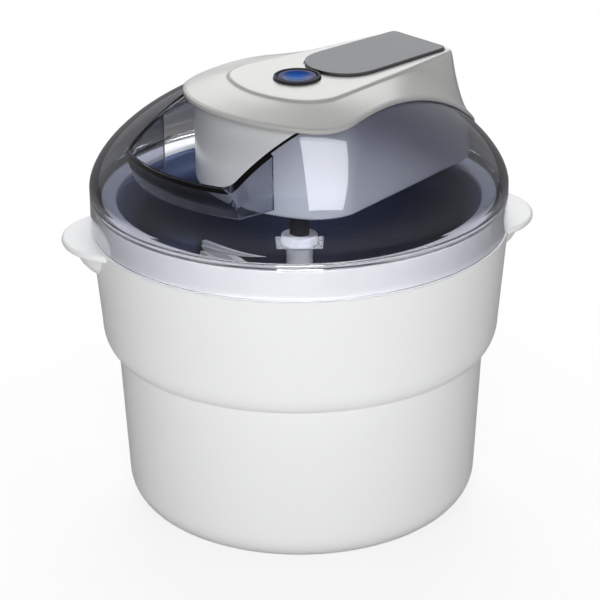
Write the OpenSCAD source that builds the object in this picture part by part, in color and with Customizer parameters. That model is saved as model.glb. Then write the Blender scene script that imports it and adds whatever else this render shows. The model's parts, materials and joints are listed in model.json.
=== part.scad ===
// Ice cream maker: a white bucket with two ears, a lift-out freezer bowl, a clear domed lid with a
// filler opening, and a motor unit that drops into the lid and turns the paddle.
// Units are millimetres. +Z is up, -Y is the side of the filler opening, and z = 0 is the table.

/* [Bucket] */
// Height of the bucket's rim above the table
rim_z = 149.3; // [140:0.5:160]
// Outer radius of the band at the rim
band_top_r = 104.3; // [103.5:0.1:108]
// How much narrower the band is just above the step
band_taper = 4.3; // [1.5:0.1:6]
// Height of the step under the band
step_z = 87.5; // [75:0.5:95]
// Height of the rounded lower edge of the band
step_h = 13; // [6:0.5:18]
// How far the lower body is set back under the band
step_w = 7.3; // [5:0.1:8]
// How much narrower the lower body is where the bottom rounding starts
body_taper = 3.7; // [2:0.1:4.5]
// Radius of the rounding between the lower body and the base
base_round = 17; // [12:0.5:20]
// Wall thickness of the bucket
bucket_wall = 2.6; // [2:0.1:3]
// Width of the ledge that carries the freezer bowl, from the band's outside
ledge_w = 6.8; // [6:0.1:8]
// Thickness of the ledge
ledge_t = 2.8; // [2:0.1:4]
// Number of rubber feet
foot_n = 4; // [3:1:6]
// Radius of one rubber foot
foot_r = 7; // [5:0.5:9]
// Distance from the bucket's axis to each foot
foot_circle_r = 54; // [45:0.5:58]
// How far the feet stand proud of the base
foot_proud = 1.2; // [0.8:0.1:2]
// Depth of the pockets that hold the feet
foot_pocket = 1.4; // [0.8:0.1:1.6]

/* [Ears] */
// Direction of the ears, from the lid's own cross axis
ear_turn = 57; // [0:1:90]
// How far each ear reaches out from the band
ear_reach = 14.7; // [10:0.1:19]
// Radius of an ear's top plate in plan
ear_plan_r = 33; // [26:0.5:36]
// Thickness of the top plate
ear_t = 3.6; // [3:0.1:5]
// Drop of the top plate below the bucket's rim
ear_drop = 0.5; // [0.2:0.1:1.5]
// Radius in plan of the rounded cup under the plate
cup_r = 24; // [18:0.5:26]
// How far the cup's edge is set back from the plate's edge
cup_inset = 6.5; // [4:0.5:9]
// Depth of the whole rounded cup, most of which runs into the band
cup_h = 18.7; // [14:0.1:22]

/* [Freezer bowl] */
// Gap between the bowl's rim ring and the lid around it
bowl_play = 0.6; // [0.5:0.1:1.5]
// Height of the rim ring above the bucket's rim
bowl_rim_rise = 15; // [12:0.1:15.4]
// Width of the rim ring
bowl_rim_w = 10; // [9:0.1:12]
// Width of the flared mouth, from the rim ring in to the metal wall
mouth_w = 11; // [10:0.5:14]
// How much narrower the metal bowl is above its rounded floor
bowl_taper = 7; // [4:0.5:10]
// Radius between the bowl's wall and its floor
bowl_round = 18; // [10:0.5:24]
// Height of the bowl's floor above the table
bowl_floor_z = 30; // [24:0.5:36]
// Depth of the flared mouth below the rim ring's top
bowl_flare = 20; // [14:0.5:24]
// Thickness of the metal bowl
bowl_metal = 1.2; // [0.8:0.1:1.6]
// How far the top of the bowl's plastic shell stays inside the rim ring
shell_inset = 2.4; // [2:0.1:4]
// How much narrower the plastic shell is above its rounded bottom
shell_taper = 4.6; // [3:0.1:6]
// Thickness of the plastic shell
shell_wall = 2.2; // [1.8:0.1:2.6]
// Height of the shell's bottom above the table
shell_z = 10; // [7:0.5:14]
// Height of the cooling charge's surface below the bucket's rim
charge_drop = 12; // [8:0.5:24]
// Radius of the pivot stud in the middle of the bowl's floor
stud_r = 5; // [4:0.1:5.4]
// Height of the pivot stud
stud_h = 9; // [6:0.5:12]

/* [Paddle] */
// Drop of the hub's top below the bucket's rim
hub_drop = 7.6; // [4:0.1:12]
// Radius of the hub's head
hub_head_r = 9.3; // [8.5:0.1:12]
// Height of the hub's head
hub_head_h = 5; // [3:0.1:8]
// Radius of the hub's stem
hub_r = 6.8; // [6.6:0.1:8]
// Gap between the paddle's edge and the bowl
paddle_gap = 1.8; // [1:0.1:3]
// Thickness of the paddle's web
web_t = 3; // [2:0.1:4]
// Thickness of the paddle's scraping edge
edge_t = 5.6; // [4.2:0.1:7]
// Width of the paddle's scraping edge
edge_w = 7; // [5:0.5:10]
// Height of the wings above the bowl's floor
wing_h = 84; // [60:1:95]
// Depth of the drive socket in the hub
socket_h = 10; // [6:0.5:14]

/* [Lid] */
// How far the lid's edge is set in from the band's
lid_inset = 0.3; // [0:0.1:0.8]
// Thickness of the clear plastic
lid_wall = 2.4; // [2:0.1:2.6]
// Gap between the bucket's rim and the lid's lower edge
seam_gap = 0.6; // [0.4:0.1:1]
// Height of the straight skirt above the bucket's rim
skirt_h = 22.2; // [20:0.1:26]
// Height the dome would have if it were complete
dome_h = 58.5; // [54:0.5:62]
// Fullness of the dome: 2 is an ellipse, less is more pointed
dome_p = 1.62; // [1.5:0.01:1.8]
// Half width of the filler opening
filler_w = 38; // [30:0.5:39]
// How much wider each side of the filler opening is at its rear
filler_flare = 4; // [0:0.5:5]
// Distance of the filler opening's front edge from the lid's edge
filler_edge = 18; // [16:0.5:22]
// Wall thickness of the filler chute
chute_t = 1.8; // [1.4:0.1:2.4]
// How far the chute reaches below the dome at its front edge
chute_h = 17; // [10:0.5:20]
// How far the chute's front wall leans in over its height
chute_lean = 5; // [0:0.5:8]
// Direction of the alignment mark on the skirt
mark_turn = -28; // [-60:1:-10]

/* [Motor unit] */
// How far the flat top stays below the crown that the dome would have
deck_drop = 5.7; // [4:0.1:7.5]
// Reach of the nose from the lid's axis
nose_y = 53; // [50:0.5:56]
// Half width across the front corners
corner_x = 56; // [52:0.5:58]
// Distance of the front corners ahead of the lid's axis
corner_y = 23.6; // [18:0.2:28]
// Half width at the rear end
rear_x = 36; // [33:0.5:38]
// How far the rear end stays inside the lid's edge
rear_inset = 9; // [8:0.5:12]
// Reach of the flat top's nose
deck_nose_y = 28.5; // [26:0.5:31]
// Half width of the flat top across its front corners
deck_corner_x = 34.5; // [33:0.5:38]
// Distance of the flat top's front corners ahead of the lid's axis
deck_corner_y = 15; // [12:0.5:17]
// Half width of the flat top at its rear end
deck_rear_x = 22; // [21.4:0.2:25]
// How far the flat top's rear end is set in from the lip's
deck_rear_w = 8; // [6.5:0.5:9]
// Thickness of the cover's lip
lip_t = 2.4; // [1.8:0.1:3]
// Wall thickness of the cover
cover_wall = 2.2; // [1.8:0.1:2.6]
// Width of the lip that overhangs the tub
lip_w = 3; // [2.6:0.1:4]
// How much further the lip overhangs the tub at the nose
nose_tuck = 5; // [0:0.5:6]
// Wall thickness of the tub
tub_wall = 2.2; // [1.8:0.1:2.6]
// Height of the tub's bottom above the bucket's rim
tub_rise = 20.2; // [19:0.1:24]
// Thickness of the tub's floor
tub_floor = 2.4; // [2:0.1:3.4]
// Gap between the tub and the opening in the lid
tub_gap = 0.5; // [0.4:0.05:0.8]
// Gap under anything that rests on another piece and lifts off
seat_gap = 0.3; // [0.2:0.05:0.4]

/* [Inlay and button] */
// How far the inlay plate's sides stay inside the flat top's
plate_side_w = 1.6; // [1:0.1:4]
// Gap between the button's ring and the recess for the plate
plate_front_gap = 0.3; // [0.3:0.1:2]
// How far the inlay plate ends short of the flat top's rear end
plate_rear_w = 3; // [2:0.5:9]
// Thickness of the inlay plate
plate_t = 2.4; // [1.8:0.1:2.8]
// Depth of the recess that holds the plate
plate_recess = 0.9; // [0.5:0.1:1.2]
// Gap around the plate
plate_gap = 0.5; // [0.3:0.1:0.8]
// Radius of the button
button_r = 10; // [8.5:0.1:10.5]
// Width of the dark ring around the button
ring_face = 2; // [1.9:0.1:3]
// Centre of the button ahead of the lid's axis
button_y = 0.4; // [0.4:0.1:1.6]
// Travel of the button
button_travel = 2; // [1:0.1:2.4]
// Radius of the button's stem
stem_r = 3; // [2.4:0.1:3.2]

/* [Gear train] */
// Module of the motor pinion and the large idler gear
fast_module = 0.8; // [0.7:0.02:0.84]
// Module of the small idler gear and the output gear
slow_module = 1; // [0.9:0.02:1.04]
// Teeth of the motor pinion
pinion_teeth = 12; // [12:1:14]
// Teeth of the large idler gear
idler_teeth = 48; // [40:2:50]
// Teeth of the small idler gear
step_teeth = 12; // [12:1:14]
// Teeth of the output gear
output_teeth = 54; // [48:2:56]
// Face width of the fast pair
fast_w = 5; // [3:0.1:5.4]
// Face width of the slow pair
slow_w = 6; // [4:0.1:6.6]
// Play between the teeth at the pitch circle
backlash = 0.16; // [0.1:0.02:0.3]
// How far the motor stands behind the middle between the lid's axis and the rear end
motor_shift = 0.5; // [-2:0.1:4]
// Radius of the motor can
can_r = 24.5; // [22:0.1:25]
// Height of the motor can
can_h = 19; // [16:0.1:21]
// Radius of the drive shaft
shaft_r = 5; // [4.6:0.1:5.2]
// Width across the flats at the drive shaft's tip
flats_w = 7.8; // [7:0.1:8.2]
// Radius of the idler pin
pin_r = 2.5; // [2:0.1:2.8]
// Radius of the motor shaft
rotor_shaft_r = 1.5; // [1.2:0.1:1.8]
// Thickness of the gearbox plate
gear_plate_t = 2.4; // [2:0.1:3]
// Gap between the gears and what lies above and below them
gear_gap = 1.2; // [0.8:0.1:1.6]
// Radial clearance of a running fit
run_fit = 0.06; // [0.02:0.01:0.1]
// Radial clearance of a piece that stays put in its seat
seat_fit = 0.03; // [0.01:0.01:0.05]
// Clearance around the drive shaft's tip in the paddle's socket
drive_fit = 0.2; // [0.1:0.05:0.3]

/* [Fasteners] */
// Radius of a screw's shank
screw_r = 1.5; // [1.2:0.1:1.8]
// Radius of a screw's head
screw_head_r = 3; // [2.6:0.1:3.4]
// Height of a screw's head
screw_head_h = 1.8; // [1.4:0.1:2.2]
// Radius of a screw post
post_r = 4; // [3.6:0.1:4.4]

/* [Hidden] */
$fn = 96;

// An amount by which one solid runs past another in a cut
past = 1;
// Steps along a quarter of a rounded profile
round_n = 10;

// Bucket
base_z = foot_proud;
band_low_r = band_top_r - band_taper;
body_top_r = band_low_r - step_w;
body_low_r = body_top_r - body_taper;
ledge_r = band_top_r - ledge_w;
cup_n = 9;
ear_z = rim_z - ear_drop;
ear_tip_r = band_top_r + ear_reach;
cup_centre_r = ear_tip_r - cup_inset - cup_r;
ear_centre_r = ear_tip_r - ear_plan_r;

// Freezer bowl, sized from the lid that closes over it
lid_r = band_top_r - lid_inset;
bowl_rim_r = lid_r - lid_wall - bowl_play;
bowl_mouth_r = bowl_rim_r - bowl_rim_w;
bowl_top_r = bowl_mouth_r - mouth_w;
bowl_low_r = bowl_top_r - bowl_taper;
shell_top_r = bowl_mouth_r - shell_inset;
shell_low_r = shell_top_r - shell_taper;
bowl_seat_z = rim_z + seat_gap;
bowl_flange_t = 2.4;
rim_top_z = rim_z + bowl_rim_rise;
rim_t = 2.4;
rim_skirt_t = 2.2;
lip_top_z = rim_top_z - rim_t;
rim_edge = 1.2;
metal_lip_w = 5;
seal_w = 3;
seal_h = 2;
seal_r = bowl_mouth_r + metal_lip_w - seal_w;
seal_z = lip_top_z - bowl_metal - seal_h;
flare_z = rim_top_z - bowl_flare;
flare_bulge = 2;
flare_rise = 4;
wall_foot_z = bowl_floor_z + bowl_round;
charge_top_z = rim_z - charge_drop;
charge_gap = 0.2;
shell_round = 14;
stud_edge = 1;

// Paddle
hub_z = rim_z - hub_drop;
hub_edge = 1;
hub_flare_h = 3;
stud_gap = 1;
wing_top_z = bowl_floor_z + wing_h;
// Two windows share each wing between the hub and the scraping edge
window_low_x = hub_r + 6.2;
window_high_x = bowl_low_r - paddle_gap - edge_w - 5.2;
window_web = 10;
window_r = (window_high_x - window_low_x - window_web) / 4;
window_x = [window_low_x + window_r, window_high_x - window_r];
window_margin = 4;

// Lid
lid_z = rim_z + seam_gap;
skirt_z = rim_z + skirt_h;
lid_top_z = skirt_z + dome_h;
filler_r = lid_r - filler_edge;
dome_n = 30;
rib_w = 3;
rib_h = 2.2;
chute_low_z = dome_z(filler_r) - chute_h;
chute_corner = 5;
filler_side_y = chute_corner - sqrt(filler_r * filler_r - filler_w * filler_w);
mark_w = 4;
mark_h = 5;
mark_lift = 2;
mark_proud = 0.3;

// Motor unit
deck_z = lid_top_z - deck_drop;
rear_y = lid_r - rear_inset;
deck_rear_y = rear_y - deck_rear_w;
tub_z = rim_z + tub_rise;
floor_z = tub_z + tub_floor;
lip_plan = [-nose_y, corner_x, -corner_y, rear_x, rear_y, 12, 16];
deck_plan = [-deck_nose_y, deck_corner_x, -deck_corner_y, deck_rear_x, deck_rear_y, 12, 5];
arc_n = 10;
corner_n = 7;
side_n = 10;
back_n = 4;
lip_ring = plan(lip_plan);
deck_ring = plan(deck_plan);
ring_n = len(lip_ring);
shallow_drop = 7;
deep_drop = 26;
hollow_power = 2.4;
crown_power = 1.7;
ring_r = button_r + ring_face;
plate_front = ring_r - button_y + plate_gap + plate_front_gap;
plate_x = deck_rear_x - plate_side_w;
plate_taper = 1.6;
plate_rear = deck_rear_y - plate_rear_w;
inlay_plan = [plate_front, plate_x, plate_front + 4, plate_x - plate_taper, plate_rear, 17, 3];
lug_w = lip_w + tub_wall;
tuck_from_y = 12;
inner_step = 0.4;
inner_n = 6;
skin_n = 10;
lip_round = 0.6;

// Gear layers, from the tub's floor up
fast_z = floor_z + gear_gap + 1.4;
slow_z = fast_z + fast_w + gear_gap + 0.3;
gear_plate_z = slow_z + slow_w + gear_gap + 1.8;
motor_z = gear_plate_z + gear_plate_t;
motor_y = rear_y / 2 + motor_shift;
fast_reach = fast_module * (pinion_teeth + idler_teeth) / 2;
slow_reach = slow_module * (step_teeth + output_teeth) / 2;
idler_turn = acos((slow_reach * slow_reach + motor_y * motor_y - fast_reach * fast_reach)
                  / (2 * slow_reach * motor_y));
idler_pos = [slow_reach * sin(idler_turn), slow_reach * cos(idler_turn)];
slow_mesh = atan2(idler_pos.y, idler_pos.x);
fast_mesh = atan2(motor_y - idler_pos.y, -idler_pos.x);
addendum = 0.75;
dedendum = 1.1;
pressure = 20;
flank_n = 4;
end_plate_t = 1.5;
can_wall = 1;
can_top_z = motor_z + end_plate_t + can_h;
can_boss_r = 5;
can_boss_h = 1.2;
magnet_r = can_r / 2;
coil_gap = 0.8;
tab_r = 4.5;
tab_x = can_r + tab_r;
collar_r = shaft_r + 2.4;
collar_t = 1;
clip_t = 1;
clip_gap = 4.8;
groove_h = clip_t + 0.1;
bush_r = shaft_r + 3;
bush_rise = 2;
bush_flange_w = 2;
bush_flange_t = 1.2;
top_bush_r = bush_r - 1.5;
top_bush_rise = 1;
shaft_seal_t = 2;
neck_step = 1;
neck_r = shaft_r - neck_step;
groove_d = 0.6;
groove_r = neck_r - groove_d;
output_rim_w = 4;
output_boss_w = 3;
output_recess = 2;
output_hole_r = 4;
idler_rim_w = 4;
idler_hub_wall = 1.6;
idler_hub_rise = 0.8;
idler_hole_r = 3;
shaft_tip_z = hub_z - socket_h + 1;
shaft_top_z = motor_z + 3;
plate_side_edge = 5;
plate_rear_edge = 3;
gear_plate_x = tab_x + plate_side_edge;
gear_plate_front = 27;
gear_plate_back = motor_y + can_r + plate_rear_edge;
front_post_x = 30;
front_post_y = 22;
rear_post_x = 27;
rear_post_step = 22;
rear_post_y = motor_y + rear_post_step;
post_places = [[front_post_x, -front_post_y], [-front_post_x, -front_post_y],
               [rear_post_x, rear_post_y], [-rear_post_x, rear_post_y]];
cover_post_x = 41;
cover_post_y = 6;
cover_rear_x = 26.5;
cover_post_step = 9.5;
cover_rear_y = rear_post_y + cover_post_step;
cover_places = [[cover_post_x, -cover_post_y], [-cover_post_x, -cover_post_y],
                [cover_rear_x, cover_rear_y], [-cover_rear_x, cover_rear_y]];
cover_post_z = motor_z + 4;
cover_bite = 4;
cover_thread_h = cover_bite + 1;
gearbox_shank = 12;
motor_shank = 3.6;
slot_l = 3.6;
slot_w = 0.8;
slot_d = 1;

// Button
ring_wall = 1;
ring_flange_h = 1.4;
cup_floor_t = 1.6;
button_top_z = deck_z + ring_flange_h - 0.2;
cap_h = 6.6;
spring_h = 5.4;
cap_z = button_top_z - cap_h;
cup_floor_z = cap_z - spring_h;
switch_top_z = cup_floor_z - cup_floor_t;
switch_h = 12;
switch_w = 14;
stem_reach = 2.5;
stem_z = switch_top_z - stem_reach;
stem_room = stem_reach + button_travel + 0.5;
plunger_r = 2;
plunger_h = 5;
spring_r = 5.4;
wire_r = 0.4;
spring_turns = 3;
button_play = 0.2;

// Cord inlet
inlet_drop = 13;
inlet_inset = 4.5;
inlet_z = deck_z - inlet_drop;
inlet_y = rear_y - inlet_inset;
inlet_r = 4.6;
inlet_pad_t = 6;
inlet_depth = 12;
grommet_flange_r = inlet_r + 1.9;
grommet_head = 1.8;
grommet_tail = 8;
grommet_barb = 2;
cord_r = 3.2;

// ---- Shared functions ----

function lerp(a, b, t) = a + (b - a) * t;
function clamp01(t) = min(1, max(0, t));
function bend(a, b, c, t) = lerp(lerp(a, b, t), lerp(b, c, t), t);

// Points of an arc with its own two half axes, from angle a0 to a1
function arc(c, rx, ry, a0, a1, n = round_n) =
    [for (i = [0:n]) let (a = lerp(a0, a1, i / n)) c + [rx * cos(a), ry * sin(a)]];

// Height of the dome's outer surface at a radius
function dome_z(r) = skirt_z + dome_h * pow(max(0, 1 - pow(r / lid_r, dome_p)), 1 / dome_p);

// Half of a plan outline: nose arc, front corner, straight side, rear corner, half the rear.
// p is [nose y, corner x, corner y, rear x, rear y, front corner length, rear corner length].
function half_plan(p) =
    let (corner = [p[1], p[2]], rear = [p[3], p[4]],
         rise = corner.y - p[0],
         nose_r = (corner.x * corner.x + rise * rise) / (2 * rise),
         sweep = asin(corner.x / nose_r) - p[5] / nose_r * 180 / PI,
         arc_end = [nose_r * sin(sweep), p[0] + nose_r * (1 - cos(sweep))],
         side = (rear - corner) / norm(rear - corner),
         side_a = corner + side * p[5], side_b = rear - side * p[6],
         back = [rear.x - p[6], rear.y])
    concat([for (i = [0:arc_n - 1]) let (a = sweep * i / arc_n)
                [nose_r * sin(a), p[0] + nose_r * (1 - cos(a))]],
           [for (i = [0:corner_n]) bend(arc_end, corner, side_a, i / corner_n)],
           [for (i = [1:side_n - 1]) lerp(side_a, side_b, i / side_n)],
           [for (i = [0:corner_n]) bend(side_b, rear, back, i / corner_n)],
           [for (i = [1:back_n]) lerp(back, [0, rear.y], i / back_n)]);

// The whole outline, counter-clockwise from the nose, mirrored past the middle of the rear
function plan(p) =
    let (h = half_plan(p), n = len(h))
    concat(h, [for (i = [n - 2:-1:1]) [-h[i].x, h[i].y]]);

// Between the lip's edge and the flat top, each point of the outline moves along its own line.
// run is that line's length, and d is a distance along it from the lip's edge.
function run(j) = norm(deck_ring[j] - lip_ring[j]);
function in_at(j, d) = lerp(lip_ring[j], deck_ring[j], d / run(j));
function seat_at(j, d) = let (q = in_at(j, d)) [q.x, q.y, dome_z(norm(q)) + seat_gap];
// The tub's wall keeps an even distance from the lip's edge, but is tucked in under the nose
function tuck(j) = nose_tuck * clamp01((-lip_ring[j].y - tuck_from_y) / (nose_y - tuck_from_y));
function level(d, z) = [for (j = [0:ring_n - 1]) let (q = in_at(j, d + tuck(j))) [q.x, q.y, z]];
function seat(d) = [for (j = [0:ring_n - 1]) seat_at(j, d + tuck(j))];
function lip_top(j) = dome_z(norm(lip_ring[j])) + seat_gap + lip_t;
function hollow(j) = clamp01((deck_z - lip_top(j) - shallow_drop) / (deep_drop - shallow_drop));
// Share of the drop reached at h, from 0 at the flat top to 1 at the lip: rounded over the
// nose, and a steep wall that hollows out into a lip along the sides and the rear
function fall(h, k) = lerp(pow(h, crown_power), 0.15 * h + 0.85 * (1 - pow(max(0, 1 - h), hollow_power)), k);
function skin_z(j, h) = deck_z - (deck_z - lip_top(j)) * fall(clamp01(h), hollow(j));
function outer_at(j, h) = let (q = in_at(j, (1 - h) * run(j))) [q.x, q.y, skin_z(j, h)];
function inner_at(j, g, inset) =
    let (d = lerp(lug_w + tuck(j) + inner_step, run(j) + inset, g), q = in_at(j, d))
    [q.x, q.y, skin_z(j, 1 - (d - inset) / run(j)) - inset];

// One solid skin through a stack of rings, flat at both ends
module skin(rings) {
    n = len(rings[0]);
    last = len(rings) - 1;
    polyhedron(
        points = [for (r = rings) each r],
        faces = concat(
            [[for (j = [0:n - 1]) j]],
            [for (i = [0:last - 1]) for (j = [0:n - 1])
                let (k = (j + 1) % n) each
                [[i * n + j, (i + 1) * n + j, (i + 1) * n + k], [i * n + j, (i + 1) * n + k, i * n + k]]],
            [[for (j = [n - 1:-1:0]) last * n + j]]),
        convexity = 6);
}

// A plain tube
module tube(r_out, r_in, h) {
    difference() {
        cylinder(r = r_out, h = h);
        translate([0, 0, -past]) cylinder(r = r_in, h = h + 2 * past);
    }
}

// The drive shaft's tip in section: a circle with two flats
module flatted(r, w) {
    intersection() {
        circle(r = r);
        square([2 * r, w], center = true);
    }
}

// ---- Bucket ----

module bucket_profile() {
    bottom_c = [body_low_r - base_round, base_z + base_round];
    inner_round = base_round - bucket_wall;
    step_c = [body_top_r, step_z + step_h];
    step_in = band_low_r - body_top_r;
    inner_step_c = step_c + [-bucket_wall, bucket_wall];
    polygon(concat(
        [[0, base_z]],
        arc(bottom_c, base_round, base_round, -90, 0),
        arc(step_c, step_in, step_h, -90, 0),
        [[band_top_r, rim_z], [ledge_r, rim_z], [ledge_r, rim_z - ledge_t],
         [band_top_r - bucket_wall, rim_z - ledge_t]],
        arc(inner_step_c, step_in, step_h, 0, -90),
        arc(bottom_c, inner_round, inner_round, 0, -90),
        [[0, base_z + bucket_wall]]));
}

// The rounded cup under an ear's plate, drawn in by an inset
module ear_cup(inset) {
    translate([cup_centre_r, 0, ear_z - ear_t]) rotate_extrude()
        polygon(concat([[0, 0]], arc([0, 0], cup_r - inset, cup_h - inset, 0, -90, cup_n)));
}

// Everything inside the middle of the band's wall, where the ears stop
module inside_band() {
    top_r = band_top_r - bucket_wall / 2;
    low_r = band_low_r - bucket_wall / 2;
    rotate_extrude() polygon([[0, step_z + step_h], [low_r, step_z + step_h], [top_r, rim_z],
                              [top_r, rim_z + past], [0, rim_z + past]]);
}

// An ear before it meets the band: a plate with a rounded edge over the cup
module ear() {
    edge = ear_t / 2;
    translate([ear_centre_r, 0, ear_z - edge]) rotate_extrude()
        polygon(concat([[0, -edge]], arc([ear_plan_r - edge, 0], edge, edge, -90, 90), [[0, edge]]));
    ear_cup(0);
}

module outer_housing() {
    color("whitesmoke") difference() {
        union() {
            rotate_extrude() bucket_profile();
            for (turn = [0, 180]) rotate([0, 0, ear_turn + turn]) difference() {
                ear();
                inside_band();
            }
        }
        // The hollow side of each ear, open towards the bowl
        for (turn = [0, 180]) rotate([0, 0, ear_turn + turn]) ear_cup(bucket_wall);
        for (i = [0:foot_n - 1]) rotate([0, 0, 45 + i * 360 / foot_n])
            translate([foot_circle_r, 0, base_z - past]) cylinder(r = foot_r + seat_fit, h = foot_pocket + past);
    }
}

module anti_slip_feet() {
    color("dimgray") for (i = [0:foot_n - 1]) rotate([0, 0, 45 + i * 360 / foot_n])
        translate([foot_circle_r, 0, 0]) cylinder(r = foot_r, h = base_z + foot_pocket);
}

// ---- Freezer bowl ----

// The inside of the metal bowl, grown outwards or drawn inwards by an inset.
// It runs from the middle of the floor, round the corner and up the wall to the flare's foot.
function bowl_curve(inset) =
    concat([[0, bowl_floor_z + inset]],
           arc([bowl_low_r - bowl_round, wall_foot_z], bowl_round - inset, bowl_round - inset, -90, 0),
           [[bowl_top_r - inset, flare_z]]);

// The flared mouth, from the wall up to the rim ring
function flare_curve(inset) =
    [for (i = [1:round_n]) bend([bowl_top_r - inset, flare_z],
                                [bowl_top_r + flare_bulge - inset, lip_top_z - flare_rise + inset],
                                [bowl_mouth_r, lip_top_z + inset], i / round_n)];

function reversed(v) = [for (i = [len(v) - 1:-1:0]) v[i]];

module bowl_inner_shell() {
    color("lightsteelblue") {
        rotate_extrude()
            polygon(concat(bowl_curve(0), flare_curve(0), [[bowl_mouth_r + metal_lip_w, lip_top_z],
                           [bowl_mouth_r + metal_lip_w, lip_top_z - bowl_metal]],
                           reversed(flare_curve(-bowl_metal)), reversed(bowl_curve(-bowl_metal))));
        rotate_extrude()
            polygon(concat([[0, bowl_floor_z - bowl_metal / 2], [stud_r, bowl_floor_z - bowl_metal / 2]],
                           arc([stud_r - stud_edge, bowl_floor_z + stud_h - stud_edge],
                               stud_edge, stud_edge, 0, 90, 4),
                           [[0, bowl_floor_z + stud_h]]));
    }
}

module bowl_outer_shell() {
    bottom_c = [shell_low_r - shell_round, shell_z + shell_round];
    color("white") rotate_extrude()
        polygon(concat(
            [[0, shell_z]],
            arc(bottom_c, shell_round, shell_round, -90, 0),
            [[shell_top_r, bowl_seat_z], [bowl_rim_r, bowl_seat_z],
             [bowl_rim_r, bowl_seat_z + bowl_flange_t],
             [seal_r + seal_w, bowl_seat_z + bowl_flange_t], [seal_r + seal_w, seal_z],
             [seal_r, seal_z], [seal_r, bowl_seat_z + bowl_flange_t],
             [shell_top_r - shell_wall, bowl_seat_z + bowl_flange_t]],
            arc(bottom_c, shell_round - shell_wall, shell_round - shell_wall, 0, -90),
            [[0, shell_z + shell_wall]]));
}

module bowl_seal() {
    color("gray") translate([0, 0, seal_z]) tube(seal_r + seal_w, seal_r, seal_h);
}

module bowl_rim_ring() {
    color("white") rotate_extrude()
        polygon(concat(
            [[bowl_rim_r, bowl_seat_z + bowl_flange_t]],
            arc([bowl_rim_r - rim_edge, rim_top_z - rim_edge], rim_edge, rim_edge, 0, 90, 5),
            arc([bowl_mouth_r + rim_edge, rim_top_z - rim_edge], rim_edge, rim_edge, 90, 180, 5),
            [[bowl_mouth_r, lip_top_z], [bowl_rim_r - rim_skirt_t, lip_top_z],
             [bowl_rim_r - rim_skirt_t, bowl_seat_z + bowl_flange_t]]));
}

module cooling_charge() {
    bottom_c = [shell_low_r - shell_round, shell_z + shell_round];
    round_r = shell_round - shell_wall - charge_gap;
    wall_low_r = shell_low_r - shell_wall - charge_gap;
    wall_top_r = shell_top_r - shell_wall - charge_gap;
    share = (charge_top_z - bottom_c.y) / (bowl_seat_z + bowl_flange_t - bottom_c.y);
    inner_share = (charge_top_z - wall_foot_z) / (flare_z - wall_foot_z);
    color("lightcyan") rotate_extrude()
        polygon(concat(
            [[0, shell_z + shell_wall]],
            arc(bottom_c, round_r, bottom_c.y - shell_z - shell_wall, -90, 0),
            [[lerp(wall_low_r, wall_top_r, share), charge_top_z],
             [lerp(bowl_low_r, bowl_top_r, inner_share) + bowl_metal + charge_gap, charge_top_z]],
            arc([bowl_low_r - bowl_round, wall_foot_z], bowl_round + bowl_metal + charge_gap,
                bowl_round + bowl_metal + charge_gap, 0, -90),
            [[0, bowl_floor_z - bowl_metal - charge_gap]]));
}

// ---- Paddle ----

// A window with round ends, standing in the paddle's plane
module slot_2d(low, high, r) {
    translate(low) circle(r = r);
    translate(high) circle(r = r);
    translate([low.x - r, low.y]) square([2 * r, high.y - low.y]);
}

module wing_2d(inset) {
    intersection() {
        polygon(concat(bowl_curve(paddle_gap + inset), [[0, flare_z]]));
        translate([0, bowl_floor_z]) square([bowl_top_r, wing_h - inset]);
    }
}

module wing() {
    low_z = bowl_floor_z + paddle_gap + edge_w + window_r + window_margin;
    high_z = wing_top_z - edge_w - window_r - window_margin;
    rotate([90, 0, 0]) {
        translate([0, 0, -web_t / 2]) linear_extrude(web_t) difference() {
            wing_2d(0);
            for (x = window_x) slot_2d([x, low_z], [x, high_z], window_r);
        }
        translate([0, 0, -edge_t / 2]) linear_extrude(edge_t) difference() {
            wing_2d(0);
            wing_2d(edge_w);
            translate([-past, wing_top_z - edge_w / 2]) square([bowl_top_r, edge_w]);
        }
    }
}

module paddle() {
    stem_low_z = bowl_floor_z + paddle_gap;
    color("white") difference() {
        union() {
            for (turn = [0, 180]) rotate([0, 0, turn]) wing();
            translate([0, 0, stem_low_z]) cylinder(r = hub_r, h = hub_z - stem_low_z);
            translate([0, 0, hub_z - hub_head_h]) rotate_extrude()
                polygon(concat([[0, 0], [hub_r, -hub_flare_h], [hub_head_r, 0]],
                               arc([hub_head_r - hub_edge, hub_head_h - hub_edge],
                                   hub_edge, hub_edge, 0, 90, 4), [[0, hub_head_h]]));
        }
        translate([0, 0, hub_z - socket_h]) linear_extrude(socket_h + past)
            flatted(shaft_r + drive_fit, flats_w + 2 * drive_fit);
        translate([0, 0, stem_low_z - past])
            cylinder(r = stud_r + run_fit, h = stud_h + stud_gap - paddle_gap + past);
    }
}

// ---- Lid ----

function dome_curve(r, h) =
    [for (i = [0:dome_n]) let (a = 90 * i / dome_n)
        [r * pow(cos(a), 2 / dome_p), skirt_z + h * pow(sin(a), 2 / dome_p)]];

module lid_profile() {
    polygon(concat(
        [[lid_r, lid_z]],
        dome_curve(lid_r, dome_h),
        reversed(dome_curve(lid_r - lid_wall, dome_h - lid_wall)),
        [[lid_r - lid_wall, rim_top_z + seat_gap + rib_h + rib_w / 2],
         [lid_r - lid_wall - rib_w, rim_top_z + seat_gap + rib_h],
         [lid_r - lid_wall - rib_w, rim_top_z + seat_gap],
         [lid_r - lid_wall, rim_top_z + seat_gap], [lid_r - lid_wall, lid_z]]));
}

// Half width of the filler opening, which flares from its front corners to its rear
function filler_x(y) = filler_w + filler_flare * clamp01((y - filler_side_y) / (-corner_y - filler_side_y));

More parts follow.
